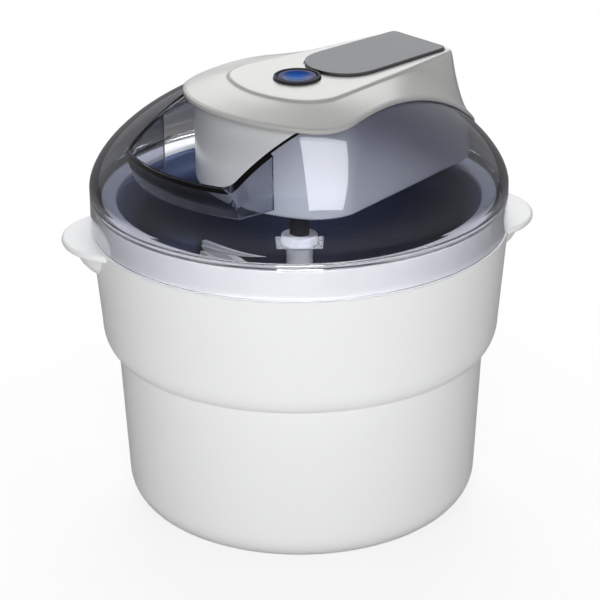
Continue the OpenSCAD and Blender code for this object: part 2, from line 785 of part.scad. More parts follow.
// The filler opening in plan, reaching back under the motor's nose
module filler_plan() {
    turn_x = filler_w - chute_corner;
    front = function(x) -sqrt(filler_r * filler_r - x * x);
    corner = [for (i = [0:6]) bend([filler_w, filler_side_y], [filler_w, front(filler_w)],
                                   [turn_x, front(turn_x)], i / 6)];
    polygon(concat(
        [[filler_x(-corner_y), -corner_y]], corner,
        [for (i = [1:11]) let (x = lerp(turn_x, -turn_x, i / 12)) [x, front(x)]],
        [for (q = reversed(corner)) [-q.x, q.y]], [[-filler_x(-corner_y), -corner_y]]));
}

module dome_solid(r, h) {
    rotate_extrude() polygon(concat([[0, lid_z]], [[r, lid_z]], dome_curve(r, h)));
}

// Everything inside the chute's leaning front face, grown outwards and run on downwards
module chute_core(grow, below) {
    top_z = dome_z(filler_r);
    low_r = filler_r - chute_lean + grow;
    rotate_extrude() polygon([
        [0, chute_low_z - below], [low_r, chute_low_z - below], [low_r, chute_low_z],
        [filler_r + grow, top_z], [filler_r + grow, lid_top_z], [0, lid_top_z]]);
}

// The chute's side walls in plan, from the lid's edge back to rear_y, grown outwards
module chute_sides(grow, rear_y) {
    x = [filler_w + grow, filler_x(rear_y) + grow];
    polygon([[x[0], -lid_r], [x[0], filler_side_y], [x[1], rear_y],
             [-x[1], rear_y], [-x[0], filler_side_y], [-x[0], -lid_r]]);
}

// The chute: side walls and a front wall that leans in as it goes down
module chute() {
    difference() {
        intersection() {
            dome_solid(lid_r - lid_wall / 2, dome_h - lid_wall / 2);
            chute_core(chute_t, 0);
            translate([0, 0, chute_low_z]) linear_extrude(lid_top_z - chute_low_z)
                chute_sides(chute_t, -nose_y);
        }
        intersection() {
            chute_core(0, past);
            translate([0, 0, chute_low_z - past]) linear_extrude(lid_top_z - chute_low_z + 2 * past)
                chute_sides(0, -corner_y);
        }
    }
}

module tub_hole() {
    translate([0, 0, tub_z - past]) linear_extrude(lid_top_z - tub_z + 2 * past)
        polygon([for (j = [0:ring_n - 1]) in_at(j, lip_w + tuck(j) - tub_gap)]);
}

module dome_lid() {
    color("slategray", 0.4) {
        difference() {
            union() {
                rotate_extrude() lid_profile();
                rotate([0, 0, mark_turn]) translate([lid_r - mark_proud, -mark_w / 2, lid_z + mark_lift])
                    cube([2 * mark_proud, mark_w, mark_h]);
            }
            tub_hole();
            translate([0, 0, chute_low_z]) linear_extrude(deck_z) filler_plan();
        }
        difference() {
            chute();
            tub_hole();
        }
    }
}

// ---- Motor unit: casing ----

module motor_tub() {
    color("ivory") difference() {
        union() {
            // Floor and wall, whose top edge meets the underside of the cover's lip
            skin([level(lip_w, tub_z), seat(lip_w), seat(lug_w), level(lug_w, floor_z)]);
            translate([0, 0, floor_z]) {
                for (p = post_places) translate(p) cylinder(r = post_r, h = gear_plate_z - floor_z);
                for (p = cover_places) translate(p) cylinder(r = post_r, h = cover_post_z - floor_z);
                translate(idler_pos) cylinder(r = pin_r + 2, h = fast_z - floor_z - seat_gap);
            }
        }
        translate([0, 0, tub_z - past]) {
            cylinder(r = bush_r + seat_fit, h = tub_floor + 2 * past);
            for (p = cover_places) translate(p) {
                cylinder(r = screw_r + run_fit, h = cover_post_z - tub_z + 2 * past);
                cylinder(r = screw_head_r + run_fit, h = past + screw_head_h);
            }
        }
        translate([idler_pos.x, idler_pos.y, tub_z + tub_floor / 2])
            cylinder(r = pin_r + seat_fit, h = fast_z - tub_z);
        for (p = post_places) translate([p.x, p.y, floor_z])
            cylinder(r = screw_r + run_fit, h = gear_plate_z - floor_z + past);
    }
}

// Recess for the plate and the plate itself share this outline
module inlay_outline(grow) {
    p = inlay_plan;
    polygon(plan([p[0] - grow, p[1] + grow, p[2] - grow, p[3] + grow, p[4] + grow, p[5], p[6]]));
}

module motor_cover() {
    color("gainsboro") difference() {
        union() {
            skin(concat(
                [for (i = [inner_n:-1:0]) [for (j = [0:ring_n - 1]) inner_at(j, i / inner_n, cover_wall)]],
                [seat(lug_w), seat(lip_w), [for (j = [0:ring_n - 1]) seat_at(j, 0)],
                 [for (j = [0:ring_n - 1]) let (q = lip_ring[j]) [q.x, q.y, lip_top(j) - lip_round]]],
                [for (i = [skin_n:-1:0]) [for (j = [0:ring_n - 1])
                    outer_at(j, i == skin_n ? 1 - lip_round / run(j) : i / skin_n)]]));
            intersection() {
                skin(concat(
                    [level(lug_w + inner_step, cover_post_z - past)],
                    [for (i = [1:inner_n]) [for (j = [0:ring_n - 1]) inner_at(j, i / inner_n, cover_wall / 2)]]));
                for (p = cover_places) translate([p.x, p.y, cover_post_z])
                    cylinder(r = post_r, h = deck_z - cover_post_z);
            }
            translate([0, inlet_y, inlet_z]) rotate([90, 0, 0]) cylinder(r = grommet_flange_r + 1, h = inlet_pad_t);
        }
        for (p = cover_places) translate([p.x, p.y, cover_post_z - past])
            cylinder(r = screw_r + run_fit, h = cover_thread_h + past);
        translate([0, 0, deck_z - plate_recess]) linear_extrude(plate_recess + past)
            inlay_outline(plate_gap);
        translate([0, -button_y, deck_z - cover_wall - past])
            cylinder(r = ring_r - ring_wall + seat_fit, h = cover_wall + 2 * past);
        translate([0, inlet_y + past, inlet_z]) rotate([90, 0, 0])
            cylinder(r = inlet_r + seat_fit, h = inlet_depth);
    }
}

module inlay_plate() {
    color("dimgray") translate([0, 0, deck_z - plate_recess]) linear_extrude(plate_t) inlay_outline(0);
}

module button_ring() {
    guide_r = button_r + button_play;
    color("black") translate([0, -button_y, 0]) difference() {
        union() {
            translate([0, 0, switch_top_z]) cylinder(r = ring_r - ring_wall, h = deck_z - switch_top_z);
            translate([0, 0, deck_z]) rotate_extrude()
                polygon([[0, 0], [ring_r, 0], [ring_r - 0.5, ring_flange_h], [0, ring_flange_h]]);
        }
        translate([0, 0, cup_floor_z]) cylinder(r = guide_r, h = deck_z - cup_floor_z + ring_flange_h + past);
        translate([0, 0, switch_top_z - past]) cylinder(r = stem_r + button_play, h = cup_floor_t + 2 * past);
    }
}

module power_button() {
    dish_r = 16;
    dish_depth = 1.6;
    color("mediumblue") translate([0, -button_y, 0]) difference() {
        union() {
            translate([0, 0, cap_z]) rotate_extrude()
                polygon(concat([[0, 0], [button_r, 0]],
                               arc([button_r - 0.8, cap_h - 0.8], 0.8, 0.8, 0, 90, 4), [[0, cap_h]]));
            translate([0, 0, stem_z]) cylinder(r = stem_r, h = cap_z - stem_z);
        }
        translate([0, 0, button_top_z - dish_depth + dish_r]) sphere(r = dish_r);
    }
}

// A helical spring of round wire, swept as one skin of small rings
module button_spring() {
    steps = spring_turns * 16;
    height = spring_h - 2 * wire_r;
    ring = 6;
    color("silver") translate([0, -button_y, cup_floor_z + wire_r])
        skin([for (i = [0:steps]) let (a = 360 * spring_turns * i / steps)
            [for (k = [0:ring - 1]) let (b = -360 * k / ring, q = spring_r + wire_r * cos(b))
                [q * cos(a), q * sin(a), height * i / steps + wire_r * sin(b)]]]);
}

module switch_body() {
    color("darkslategray") translate([0, -button_y, switch_top_z - switch_h]) difference() {
        translate([-switch_w / 2, -switch_w / 2, 0]) cube([switch_w, switch_w, switch_h]);
        translate([0, 0, switch_h - stem_room]) cylinder(r = stem_r + button_play, h = stem_room + past);
        translate([0, 0, switch_h - stem_room - plunger_h])
            cylinder(r = plunger_r + run_fit, h = plunger_h + past);
    }
}

module switch_plunger() {
    color("firebrick") translate([0, -button_y, stem_z - plunger_h]) cylinder(r = plunger_r, h = plunger_h);
}

module cord_grommet() {
    color("black") translate([0, inlet_y, inlet_z]) rotate([-90, 0, 0]) difference() {
        rotate_extrude() polygon([
            [0, -grommet_tail], [inlet_r + 0.9, -grommet_tail],
            [inlet_r, grommet_barb - grommet_tail], [inlet_r, 0],
            [grommet_flange_r, 0], [grommet_flange_r, grommet_head / 2],
            [grommet_flange_r - grommet_head / 2, grommet_head], [0, grommet_head]]);
        translate([0, 0, -grommet_tail - past])
            cylinder(r = cord_r, h = grommet_tail + grommet_head + 2 * past);
    }
}

// ---- Motor unit: drive ----

function involute(rb, a) = rb * [cos(a) + a * PI / 180 * sin(a), sin(a) - a * PI / 180 * cos(a)];
function turned(p, a) = [p.x * cos(a) - p.y * sin(a), p.x * sin(a) + p.y * cos(a)];

// Outline of a gear with involute flanks, with one tooth centred on +X
function gear_outline(m, teeth) =
    let (rp = m * teeth / 2, rb = rp * cos(pressure), ra = rp + addendum * m, rr = rp - dedendum * m,
         half = 90 / teeth - backlash / 2 / rp * 180 / PI,
         inv_p = (tan(pressure) - pressure * PI / 180) * 180 / PI,
         a_top = sqrt(ra * ra / (rb * rb) - 1) * 180 / PI,
         r_low = max(rb, rr),
         a_low = r_low > rb ? sqrt(r_low * r_low / (rb * rb) - 1) * 180 / PI : 0,
         flank = [for (i = [0:flank_n])
                     turned(involute(rb, lerp(a_low, a_top, i / flank_n)), -half - inv_p)],
         root_a = atan2(flank[0].y, flank[0].x),
         tooth = concat([rr * [cos(root_a), sin(root_a)]], flank,
                        [for (i = [flank_n:-1:0]) [flank[i].x, -flank[i].y]],
                        [rr * [cos(root_a), -sin(root_a)]]))
    [for (t = [0:teeth - 1]) for (p = tooth) turned(p, 360 * t / teeth)];

module gear(m, teeth, w) {
    linear_extrude(w) polygon(gear_outline(m, teeth));
}

module gearbox_plate() {
    half_w = gear_plate_x;
    front = -gear_plate_front;
    back = gear_plate_back;
    corner_r = 6;
    side = half_w - corner_r;
    color("silver") translate([0, 0, gear_plate_z]) difference() {
        linear_extrude(gear_plate_t) difference() {
            union() {
                translate([-half_w, front + corner_r]) square([2 * half_w, back - front - 2 * corner_r]);
                translate([-side, front]) square([2 * side, back - front]);
                for (x = [-side, side], y = [front + corner_r, back - corner_r])
                    translate([x, y]) circle(r = corner_r);
            }
        }
        translate([0, 0, -past]) {
            cylinder(r = top_bush_r + seat_fit, h = gear_plate_t + 2 * past);
            translate([0, motor_y]) cylinder(r = 3 * rotor_shaft_r, h = gear_plate_t + 2 * past);
            translate(idler_pos) cylinder(r = pin_r + seat_fit, h = gear_plate_t + 2 * past);
            for (p = post_places) translate(p) cylinder(r = screw_r + run_fit, h = gear_plate_t + 2 * past);
            for (x = [-tab_x, tab_x]) translate([x, motor_y])
                cylinder(r = screw_r + seat_fit, h = gear_plate_t + 2 * past);
        }
    }
}

module motor_end_plate() {
    color("gainsboro") translate([0, motor_y, motor_z]) difference() {
        linear_extrude(end_plate_t) union() {
            circle(r = can_r);
            for (x = [-tab_x, tab_x]) translate([x, 0]) circle(r = tab_r);
            square([2 * tab_x, 2 * tab_r], center = true);
        }
        translate([0, 0, -past]) cylinder(r = rotor_shaft_r + run_fit, h = end_plate_t + 2 * past);
        for (x = [-tab_x, tab_x]) translate([x, 0, -past]) cylinder(r = screw_r + run_fit, h = end_plate_t + 2 * past);
    }
}

module motor_can() {
    color("silver") translate([0, motor_y, motor_z + end_plate_t]) difference() {
        union() {
            cylinder(r = can_r, h = can_h);
            translate([0, 0, can_h]) cylinder(r = can_boss_r, h = can_boss_h);
        }
        translate([0, 0, -past]) cylinder(r = can_r - can_wall, h = can_h - can_wall + past);
        cylinder(r = rotor_shaft_r + run_fit, h = can_h + 0.2);
    }
}

module stator_coil() {
    color("peru") translate([0, motor_y, motor_z + end_plate_t])
        tube(can_r - can_wall - seat_fit, magnet_r + coil_gap, can_h - can_wall - coil_gap);
}

module rotor_magnet() {
    color("dimgray") translate([0, motor_y, motor_z + end_plate_t + coil_gap])
        tube(magnet_r, rotor_shaft_r + seat_fit, can_h - can_wall - 3 * coil_gap);
}

module rotor_shaft() {
    color("lightgray") translate([0, motor_y, fast_z - 0.6])
        cylinder(r = rotor_shaft_r, h = can_top_z - fast_z);
}

module motor_pinion() {
    color("goldenrod") translate([0, motor_y, fast_z]) difference() {
        rotate([0, 0, fast_mesh + 180 + 180 / pinion_teeth]) gear(fast_module, pinion_teeth, fast_w);
        translate([0, 0, -past]) cylinder(r = rotor_shaft_r + seat_fit, h = fast_w + 2 * past);
    }
}

module idler_gear() {
    hole_circle_r = fast_module * idler_teeth / 2 - idler_hole_r - idler_rim_w;
    color("ivory") translate([idler_pos.x, idler_pos.y, fast_z]) difference() {
        union() {
            rotate([0, 0, fast_mesh]) gear(fast_module, idler_teeth, fast_w);
            cylinder(r = pin_r + idler_hub_wall, h = slow_z + slow_w - fast_z + idler_hub_rise);
            translate([0, 0, slow_z - fast_z])
                rotate([0, 0, slow_mesh + 180 + 180 / step_teeth]) gear(slow_module, step_teeth, slow_w);
        }
        translate([0, 0, -past]) cylinder(r = pin_r + run_fit, h = gear_plate_z - fast_z + past);
        for (i = [0:5]) rotate([0, 0, 60 * i])
            translate([hole_circle_r, 0, -past]) cylinder(r = idler_hole_r, h = fast_w + 2 * past);
    }
}

module idler_pin() {
    color("lightgray") translate([idler_pos.x, idler_pos.y, tub_z + tub_floor / 2])
        cylinder(r = pin_r, h = motor_z - tub_z - tub_floor / 2 - 0.2);
}

module output_gear() {
    web_r = slow_module * output_teeth / 2 - output_rim_w;
    boss_r = collar_r + output_boss_w;
    color("ivory") translate([0, 0, slow_z]) difference() {
        rotate([0, 0, slow_mesh]) gear(slow_module, output_teeth, slow_w);
        // Recess between the rim and the hub, and the holes that lighten the web
        translate([0, 0, slow_w - output_recess]) tube(web_r, boss_r, output_recess + past);
        for (i = [0:5]) rotate([0, 0, 30 + 60 * i])
            translate([(web_r + boss_r) / 2, 0, -past]) cylinder(r = output_hole_r, h = slow_w + 2 * past);
        translate([0, 0, -past]) linear_extrude(slow_w + 2 * past)
            flatted(shaft_r + seat_fit, flats_w + 2 * seat_fit);
    }
}

module drive_shaft() {
    gear_top_z = slow_z + slow_w;
    color("dimgray") {
        translate([0, 0, shaft_tip_z]) linear_extrude(socket_h) flatted(shaft_r, flats_w);
        translate([0, 0, shaft_tip_z + socket_h]) cylinder(r = shaft_r, h = slow_z - shaft_tip_z - socket_h);
        translate([0, 0, slow_z - collar_t]) cylinder(r = collar_r, h = collar_t);
        translate([0, 0, slow_z]) linear_extrude(slow_w) flatted(shaft_r, flats_w);
        translate([0, 0, gear_top_z]) cylinder(r = groove_r, h = groove_h);
        translate([0, 0, gear_top_z + groove_h]) cylinder(r = neck_r, h = shaft_top_z - gear_top_z - groove_h);
    }
}

module retaining_clip() {
    color("darkgray") translate([0, 0, slow_z + slow_w + (groove_h - clip_t) / 2]) difference() {
        tube(collar_r, groove_r + seat_fit, clip_t);
        translate([0, -clip_gap / 2, -past]) cube([collar_r + past, clip_gap, clip_t + 2 * past]);
    }
}

module lower_bush() {
    color("goldenrod") translate([0, 0, tub_z]) difference() {
        union() {
            cylinder(r = bush_r, h = tub_floor + bush_rise);
            translate([0, 0, tub_floor]) cylinder(r = bush_r + bush_flange_w, h = bush_flange_t);
        }
        translate([0, 0, -past]) cylinder(r = shaft_r + run_fit, h = tub_floor + bush_rise + 2 * past);
    }
}

module upper_bush() {
    color("goldenrod") translate([0, 0, gear_plate_z]) difference() {
        union() {
            cylinder(r = top_bush_r, h = gear_plate_t + top_bush_rise);
            translate([0, 0, gear_plate_t]) cylinder(r = bush_r, h = top_bush_rise);
        }
        translate([0, 0, -past]) cylinder(r = neck_r + run_fit, h = gear_plate_t + top_bush_rise + 2 * past);
    }
}

module shaft_seal() {
    color("black") translate([0, 0, tub_z - shaft_seal_t]) difference() {
        rotate_extrude() polygon([[0, 0], [bush_r - 1, 0], [bush_r + 2, shaft_seal_t], [0, shaft_seal_t]]);
        translate([0, 0, -past]) cylinder(r = shaft_r + run_fit, h = shaft_seal_t + 2 * past);
    }
}

// ---- Fasteners ----

// A screw whose head sits on z = 0 and whose shank points down
module screw(shank) {
    difference() {
        union() {
            rotate_extrude() polygon(concat([[0, 0], [screw_head_r, 0]],
                arc([screw_head_r - 0.8, screw_head_h - 0.8], 0.8, 0.8, 0, 90, 4), [[0, screw_head_h]]));
            translate([0, 0, -shank]) cylinder(r = screw_r, h = shank + 0.1);
        }
        for (turn = [0, 90]) rotate([0, 0, turn])
            translate([-slot_l / 2, -slot_w / 2, screw_head_h - slot_d]) cube([slot_l, slot_w, slot_d + past]);
    }
}

module gearbox_screws() {
    color("silver") for (p = post_places) translate([p.x, p.y, motor_z]) screw(gearbox_shank);
}

module motor_screws() {
    color("silver") for (x = [-tab_x, tab_x]) translate([x, motor_y, motor_z + end_plate_t]) screw(motor_shank);
}

module cover_screws() {
    color("silver") for (p = cover_places) translate([p.x, p.y, tub_z + screw_head_h])
        rotate([180, 0, 0]) screw(cover_post_z - tub_z - screw_head_h + cover_bite);
}

outer_housing();
anti_slip_feet();
bowl_outer_shell();
bowl_inner_shell();
cooling_charge();
bowl_seal();
bowl_rim_ring();
paddle();
dome_lid();
motor_tub();
motor_cover();
inlay_plate();
button_ring();
power_button();
button_spring();
switch_body();
switch_plunger();
cord_grommet();
gearbox_plate();
motor_can();
stator_coil();
motor_end_plate();
rotor_magnet();
rotor_shaft();
motor_pinion();
idler_gear();
idler_pin();
output_gear();
drive_shaft();
retaining_clip();
lower_bush();
upper_bush();
shaft_seal();
gearbox_screws();
motor_screws();
cover_screws();
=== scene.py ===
# %% [markdown]
# # An ice cream maker on a pale table
#
# The machine is a white bucket that holds a frozen bowl. A clear domed lid closes it, and a motor
# unit drops into the lid and turns the paddle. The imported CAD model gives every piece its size
# and its place. This lesson adds what CAD leaves out: soft edges, smooth domes and real finishes.

# %% Load the frame
import json
import math

import bmesh
import bpy
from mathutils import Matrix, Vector


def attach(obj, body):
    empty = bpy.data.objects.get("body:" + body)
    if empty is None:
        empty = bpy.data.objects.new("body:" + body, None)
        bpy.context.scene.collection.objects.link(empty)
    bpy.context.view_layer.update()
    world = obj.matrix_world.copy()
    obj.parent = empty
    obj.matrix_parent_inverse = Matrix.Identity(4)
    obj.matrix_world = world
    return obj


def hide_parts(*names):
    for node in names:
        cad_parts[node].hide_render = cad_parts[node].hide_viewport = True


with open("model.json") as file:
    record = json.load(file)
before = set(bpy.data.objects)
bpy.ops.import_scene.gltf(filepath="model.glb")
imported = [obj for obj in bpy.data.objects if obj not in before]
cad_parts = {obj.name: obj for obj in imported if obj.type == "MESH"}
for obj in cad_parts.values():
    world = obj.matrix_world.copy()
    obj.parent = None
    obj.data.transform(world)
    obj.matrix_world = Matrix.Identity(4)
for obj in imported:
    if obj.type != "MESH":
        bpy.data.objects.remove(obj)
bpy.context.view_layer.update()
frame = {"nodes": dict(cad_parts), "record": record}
nodes = frame["nodes"]
print("pieces from CAD:", len(nodes))

# %% [markdown]
# ## The camera
#
# A product shot of a small appliance is taken from well over a metre away with a long lens, so
# that upright walls stay almost upright. A camera can be placed by hand until it looks right.
# Here its place, turn and lens are written down as numbers, because they were worked out from the
# ellipses of the round rims.

# %% Place the camera
LONG_LENS = 156.013
SENSOR_W = 36.0
SEES_AS_FAR_AS = 30.0
CAMERA_PLACE = (0.899376, -0.809802, 0.629312)
CAMERA_TURN = (66.6081, 0.5801, 47.7542)


def place_camera():
    lens = bpy.data.cameras.new("studio_camera")
    lens.lens = LONG_LENS
    lens.sensor_width = SENSOR_W
    lens.clip_end = SEES_AS_FAR_AS
    camera = bpy.data.objects.new("studio_camera", lens)
    camera.location = CAMERA_PLACE
    camera.rotation_euler = [math.radians(a) for a in CAMERA_TURN]
    bpy.context.scene.collection.objects.link(camera)
    bpy.context.scene.camera = camera


place_camera()
print("camera distance in metres:", round(Vector(CAMERA_PLACE).length, 3))

# %% [markdown]
# ## Two ways to make a mesh
#
# Almost every piece here is either turned, like the lid, or lofted, like the motor unit's cover.
# A turned piece is one outline swung round the upright axis. A lofted piece is a stack of closed
# outlines with the same number of points. Both are a few lines of bmesh, and both keep their
# points in even rows, which shade smoothly. A sharp edge is marked wherever two faces meet at
# more than a set angle.

# %% Mesh helpers
MM = 0.001
TURN_STEPS = 256
FOLD = 32.0
ON_AXIS = 1e-6


def smooth(piece, fold=FOLD):
    """Smooth shading, with a sharp edge where two faces meet at more than fold degrees."""
    piece.data.shade_smooth()
    piece.data.set_sharp_from_angle(angle=math.radians(fold))


def finish_mesh(name, mesh_data):
    mesh = bpy.data.meshes.new(name)
    bmesh.ops.recalc_face_normals(mesh_data, faces=mesh_data.faces)
    mesh_data.to_mesh(mesh)
    mesh_data.free()
    piece = bpy.data.objects.new(name, mesh)
    bpy.context.scene.collection.objects.link(piece)
    smooth(piece)
    return piece


def loft(name, rings):
    """A closed skin through rings of points in millimetres, with a cap on each end."""
    made = bmesh.new()
    rows = [[made.verts.new([c * MM for c in p]) for p in ring] for ring in rings]
    count = len(rows[0])
    for low, high in zip(rows, rows[1:]):
        for j in range(count):
            k = (j + 1) % count
            made.faces.new((low[j], low[k], high[k], high[j]))
    made.faces.new(rows[0])
    made.faces.new(rows[-1])
    return finish_mesh(name, made)


def turned_row(made, r, z):
    """One row of points round the axis, or the same point again and again on the axis itself."""
    if r < ON_AXIS:
        return [made.verts.new((0.0, 0.0, z * MM))] * TURN_STEPS
    angles = [2 * math.pi * i / TURN_STEPS for i in range(TURN_STEPS)]
    return [made.verts.new((r * math.cos(a) * MM, r * math.sin(a) * MM, z * MM)) for a in angles]


def turn(name, outline):
    """A closed outline of (radius, height) points in millimetres, swung round the Z axis."""
    made = bmesh.new()
    rows = [turned_row(made, r, z) for r, z in outline]
    for low, high in zip(rows, rows[1:] + rows[:1]):
        for i in range(TURN_STEPS):
            k = (i + 1) % TURN_STEPS
            corners = list(dict.fromkeys((low[i], low[k], high[k], high[i])))
            if len(corners) > 2:
                made.faces.new(corners)
    return finish_mesh(name, made)


print("turned pieces have", TURN_STEPS, "steps")

# %% [markdown]
# ## Arcs, prisms and cuts
#
# A soft edge is an arc of a few points. An opening is cut as a milling cutter would cut it: a
# prism over a plan outline goes through the piece, and a boolean takes it away. The exact solver
# keeps thin walls whole, and its result is written into the mesh at once.

# %% Arcs, prisms and cuts
def arc(cx, cy, rx, ry, a0, a1, steps):
    """Points of an ellipse's arc, from angle a0 to a1 in degrees."""
    made = []
    for i in range(steps + 1):
        a = math.radians(a0 + (a1 - a0) * i / steps)
        made.append((cx + rx * math.cos(a), cy + ry * math.sin(a)))
    return made


def boolean(piece, tool, kind):
    """Cuts, joins or crosses a piece with a tool, and throws the tool away."""
    modifier = piece.modifiers.new("boolean", "BOOLEAN")
    modifier.operation = kind
    modifier.solver = "EXACT"
    modifier.object = tool
    bpy.context.view_layer.update()
    graph = bpy.context.evaluated_depsgraph_get()
    result = bpy.data.meshes.new_from_object(piece.evaluated_get(graph))
    piece.modifiers.remove(modifier)
    old = piece.data
    piece.data = result
    bpy.data.meshes.remove(old)
    bpy.data.objects.remove(tool)


def prism(name, outline, low, high):
    """An upright prism over a plan outline in millimetres."""
    return loft(name, [[(x, y, low) for x, y in outline], [(x, y, high) for x, y in outline]])


print("a quarter of an arc in six steps has", len(arc(0.0, 0.0, 1.0, 1.0, 0, 90, 6)), "points")

# %% [markdown]
# ## The dome
#
# The cover of the motor unit lies on the dome at one even gap all round, so both pieces need the
# same dome. Its outline is a superellipse: an ellipse whose power is a little under 2, which
# makes it slightly pointed. One function gives its height at any distance from the axis.

# %% The dome
LID_R = 104.0
LID_WALL = 2.4
LID_Z = 149.9
SKIRT_Z = 171.5
DOME_H = 58.5
DOME_POWER = 1.62
SEAT_GAP = 0.3


def within(share):
    """A share that is kept between 0 and 1."""
    return min(1.0, max(0.0, share))


def dome_height(r, depth=0.0):
    """Height of the dome at distance r from the axis, at a depth inside its wall."""
    share = max(0.0, 1.0 - (r / (LID_R - depth)) ** DOME_POWER)
    return SKIRT_Z + (DOME_H - depth) * share ** (1.0 / DOME_POWER)


print("height of the dome over the axis:", round(dome_height(0.0), 1), "mm")

# %% [markdown]
# ## The motor unit seen from above
#
# The motor unit has two outlines in plan, the lip's and the flat top's: a round nose, a soft
# front corner, a straight side that draws in, and a rear corner. Each could be a curve object,
# but plain points have the advantage that point number j of one outline belongs to point number j
# of the other. Towards the nose the tub is tucked in under the lip by a few millimetres.

# %% Outlines of the motor unit
LIP_W = 3.0
TUB_Z = 169.5
TUB_GAP = 0.5
NOSE_TUCK = 5.0
TUCK_START_Y = -12.0
LIP_NOSE_Y = -53.0
LIP_CORNER = (56.0, -23.6)
LIP_REAR = (36.0, 95.0)
DECK_NOSE_Y = -28.5
DECK_CORNER = (34.5, -15.0)
DECK_REAR = (22.0, 87.0)
CORNER_RUN = 12.0
LIP_REAR_RUN = 16.0
DECK_REAR_RUN = 5.0
MOTOR_STEPS = (14, 14, 24, 8)


def mix(a, b, t):
    """The point at share t of the way from a to b."""
    return tuple(p + (q - p) * t for p, q in zip(a, b))


def bend(a, b, c, t):
    """The point at share t of a curve that leaves a towards b and arrives at c from b."""
    return mix(mix(a, b, t), mix(b, c, t), t)


def plan(nose_y, corner, rear, front_run, rear_run, steps=MOTOR_STEPS):
    """A plan outline of the motor unit: nose arc, front corner, straight side, rear corner, rear."""
    arc_n, corner_n, side_n, back_n = steps
    rise = corner[1] - nose_y
    radius = (corner[0] ** 2 + rise ** 2) / (2 * rise)
    sweep = math.asin(corner[0] / radius) - front_run / radius
    arc_end = (radius * math.sin(sweep), nose_y + radius * (1 - math.cos(sweep)))
    length = math.dist(corner, rear)
    side = ((rear[0] - corner[0]) / length, (rear[1] - corner[1]) / length)
    side_a = (corner[0] + side[0] * front_run, corner[1] + side[1] * front_run)
    side_b = (rear[0] - side[0] * rear_run, rear[1] - side[1] * rear_run)
    back = (rear[0] - rear_run, rear[1])
    half = []
    for i in range(arc_n):
        a = sweep * i / arc_n
        half.append((radius * math.sin(a), nose_y + radius * (1 - math.cos(a))))
    half += [bend(arc_end, corner, side_a, i / corner_n) for i in range(corner_n + 1)]
    half += [mix(side_a, side_b, i / side_n) for i in range(1, side_n)]
    half += [bend(side_b, rear, back, i / corner_n) for i in range(corner_n + 1)]
    half += [mix(back, (0.0, rear[1]), i / back_n) for i in range(1, back_n + 1)]
    return half + [(-x, y) for x, y in reversed(half[1:-1])]


LIP_PLAN = plan(LIP_NOSE_Y, LIP_CORNER, LIP_REAR, CORNER_RUN, LIP_REAR_RUN)
DECK_PLAN = plan(DECK_NOSE_Y, DECK_CORNER, DECK_REAR, CORNER_RUN, DECK_REAR_RUN)
PLAN_N = len(LIP_PLAN)
RUNS = [math.dist(a, b) for a, b in zip(LIP_PLAN, DECK_PLAN)]
TUCK_RUN_Y = LIP_NOSE_Y - TUCK_START_Y
TUCK = [NOSE_TUCK * within((y - TUCK_START_Y) / TUCK_RUN_Y) for x, y in LIP_PLAN]


def inward(j, d):
    """The point at distance d inward from the lip's edge, on the outline's own line j."""
    return mix(LIP_PLAN[j], DECK_PLAN[j], d / RUNS[j])


print("points round the motor unit's outline:", PLAN_N)

# %% [markdown]
# ## The clear lid
#
# The real lid is one moulding of clear plastic with a smoky blue tint: a short upright skirt, a
# dome, an opening for the filler with a chute below it, and an opening that takes the motor unit.
# A single skin without a thickness would bend light as if the whole dome were solid glass. So it
# is turned as one closed wall, from an outline that goes up outside and comes back down inside.

# %% Outline of the lid
DOME_STEPS = 96
SKIRT_STEPS = 12
LID_EDGE_R = 0.7
EDGE_STEPS = 6
RIM_TOP_Z = 164.3
RIB_W = 3.0
RIB_H = 2.2
RIB_EDGE = 0.5
RIB_ROOT_W = 0.4
RIB_ROOT_LOW = 1.0
RIB_ROOT_HIGH = 1.6
DOME_FOOT = 2.0


def dome_outline(radius, height):
    """The dome's outline from its foot up to the axis."""
    made = []
    for i in range(DOME_STEPS + 1):
        a = math.pi / 2 * i / DOME_STEPS
        r = radius * max(0.0, math.cos(a)) ** (2 / DOME_POWER)
        made.append((r, SKIRT_Z + height * math.sin(a) ** (2 / DOME_POWER)))
    made[-1] = (0.0, SKIRT_Z + height)
    return made


def lid_outline():
    """Foot, outer wall, dome, back down inside it, the rib that rests on the bowl's rim, foot."""
    inner_r = LID_R - LID_WALL
    rib_z = RIM_TOP_Z + SEAT_GAP
    edge = LID_EDGE_R
    foot = arc(LID_R - edge, LID_Z + edge, edge, edge, -90, 0, EDGE_STEPS)
    foot_in = arc(inner_r + edge, LID_Z + edge, edge, edge, 180, 270, EDGE_STEPS)
    rise = SKIRT_Z - LID_Z - edge
    wall_up = [(LID_R, LID_Z + edge + rise * i / SKIRT_STEPS) for i in range(1, SKIRT_STEPS)]
    rib = [
        (inner_r, SKIRT_Z - DOME_FOOT),
        (inner_r, rib_z + RIB_H + RIB_ROOT_HIGH),
        (inner_r - RIB_ROOT_W, rib_z + RIB_H + RIB_ROOT_LOW),
        (inner_r - RIB_W + RIB_EDGE, rib_z + RIB_H),
        (inner_r - RIB_W, rib_z + RIB_H - RIB_EDGE),
        (inner_r - RIB_W, rib_z + RIB_EDGE),
        (inner_r - RIB_W + RIB_EDGE, rib_z),
        (inner_r, rib_z),
    ]
    dome_out = dome_outline(LID_R, DOME_H)
    dome_in = dome_outline(inner_r, DOME_H - LID_WALL)
    return foot + wall_up + dome_out + dome_in[::-1] + rib + foot_in


print("points in the lid's outline:", len(lid_outline()))

# %% [markdown]
# ## The filler opening
#
# Ingredients go in through an opening in front of the motor unit while the paddle turns. Its front
# edge follows the rim of the lid, its sides open a little towards the motor unit, and its front
# corners are soft. Only its plan is needed here, because a prism over the plan will cut it.

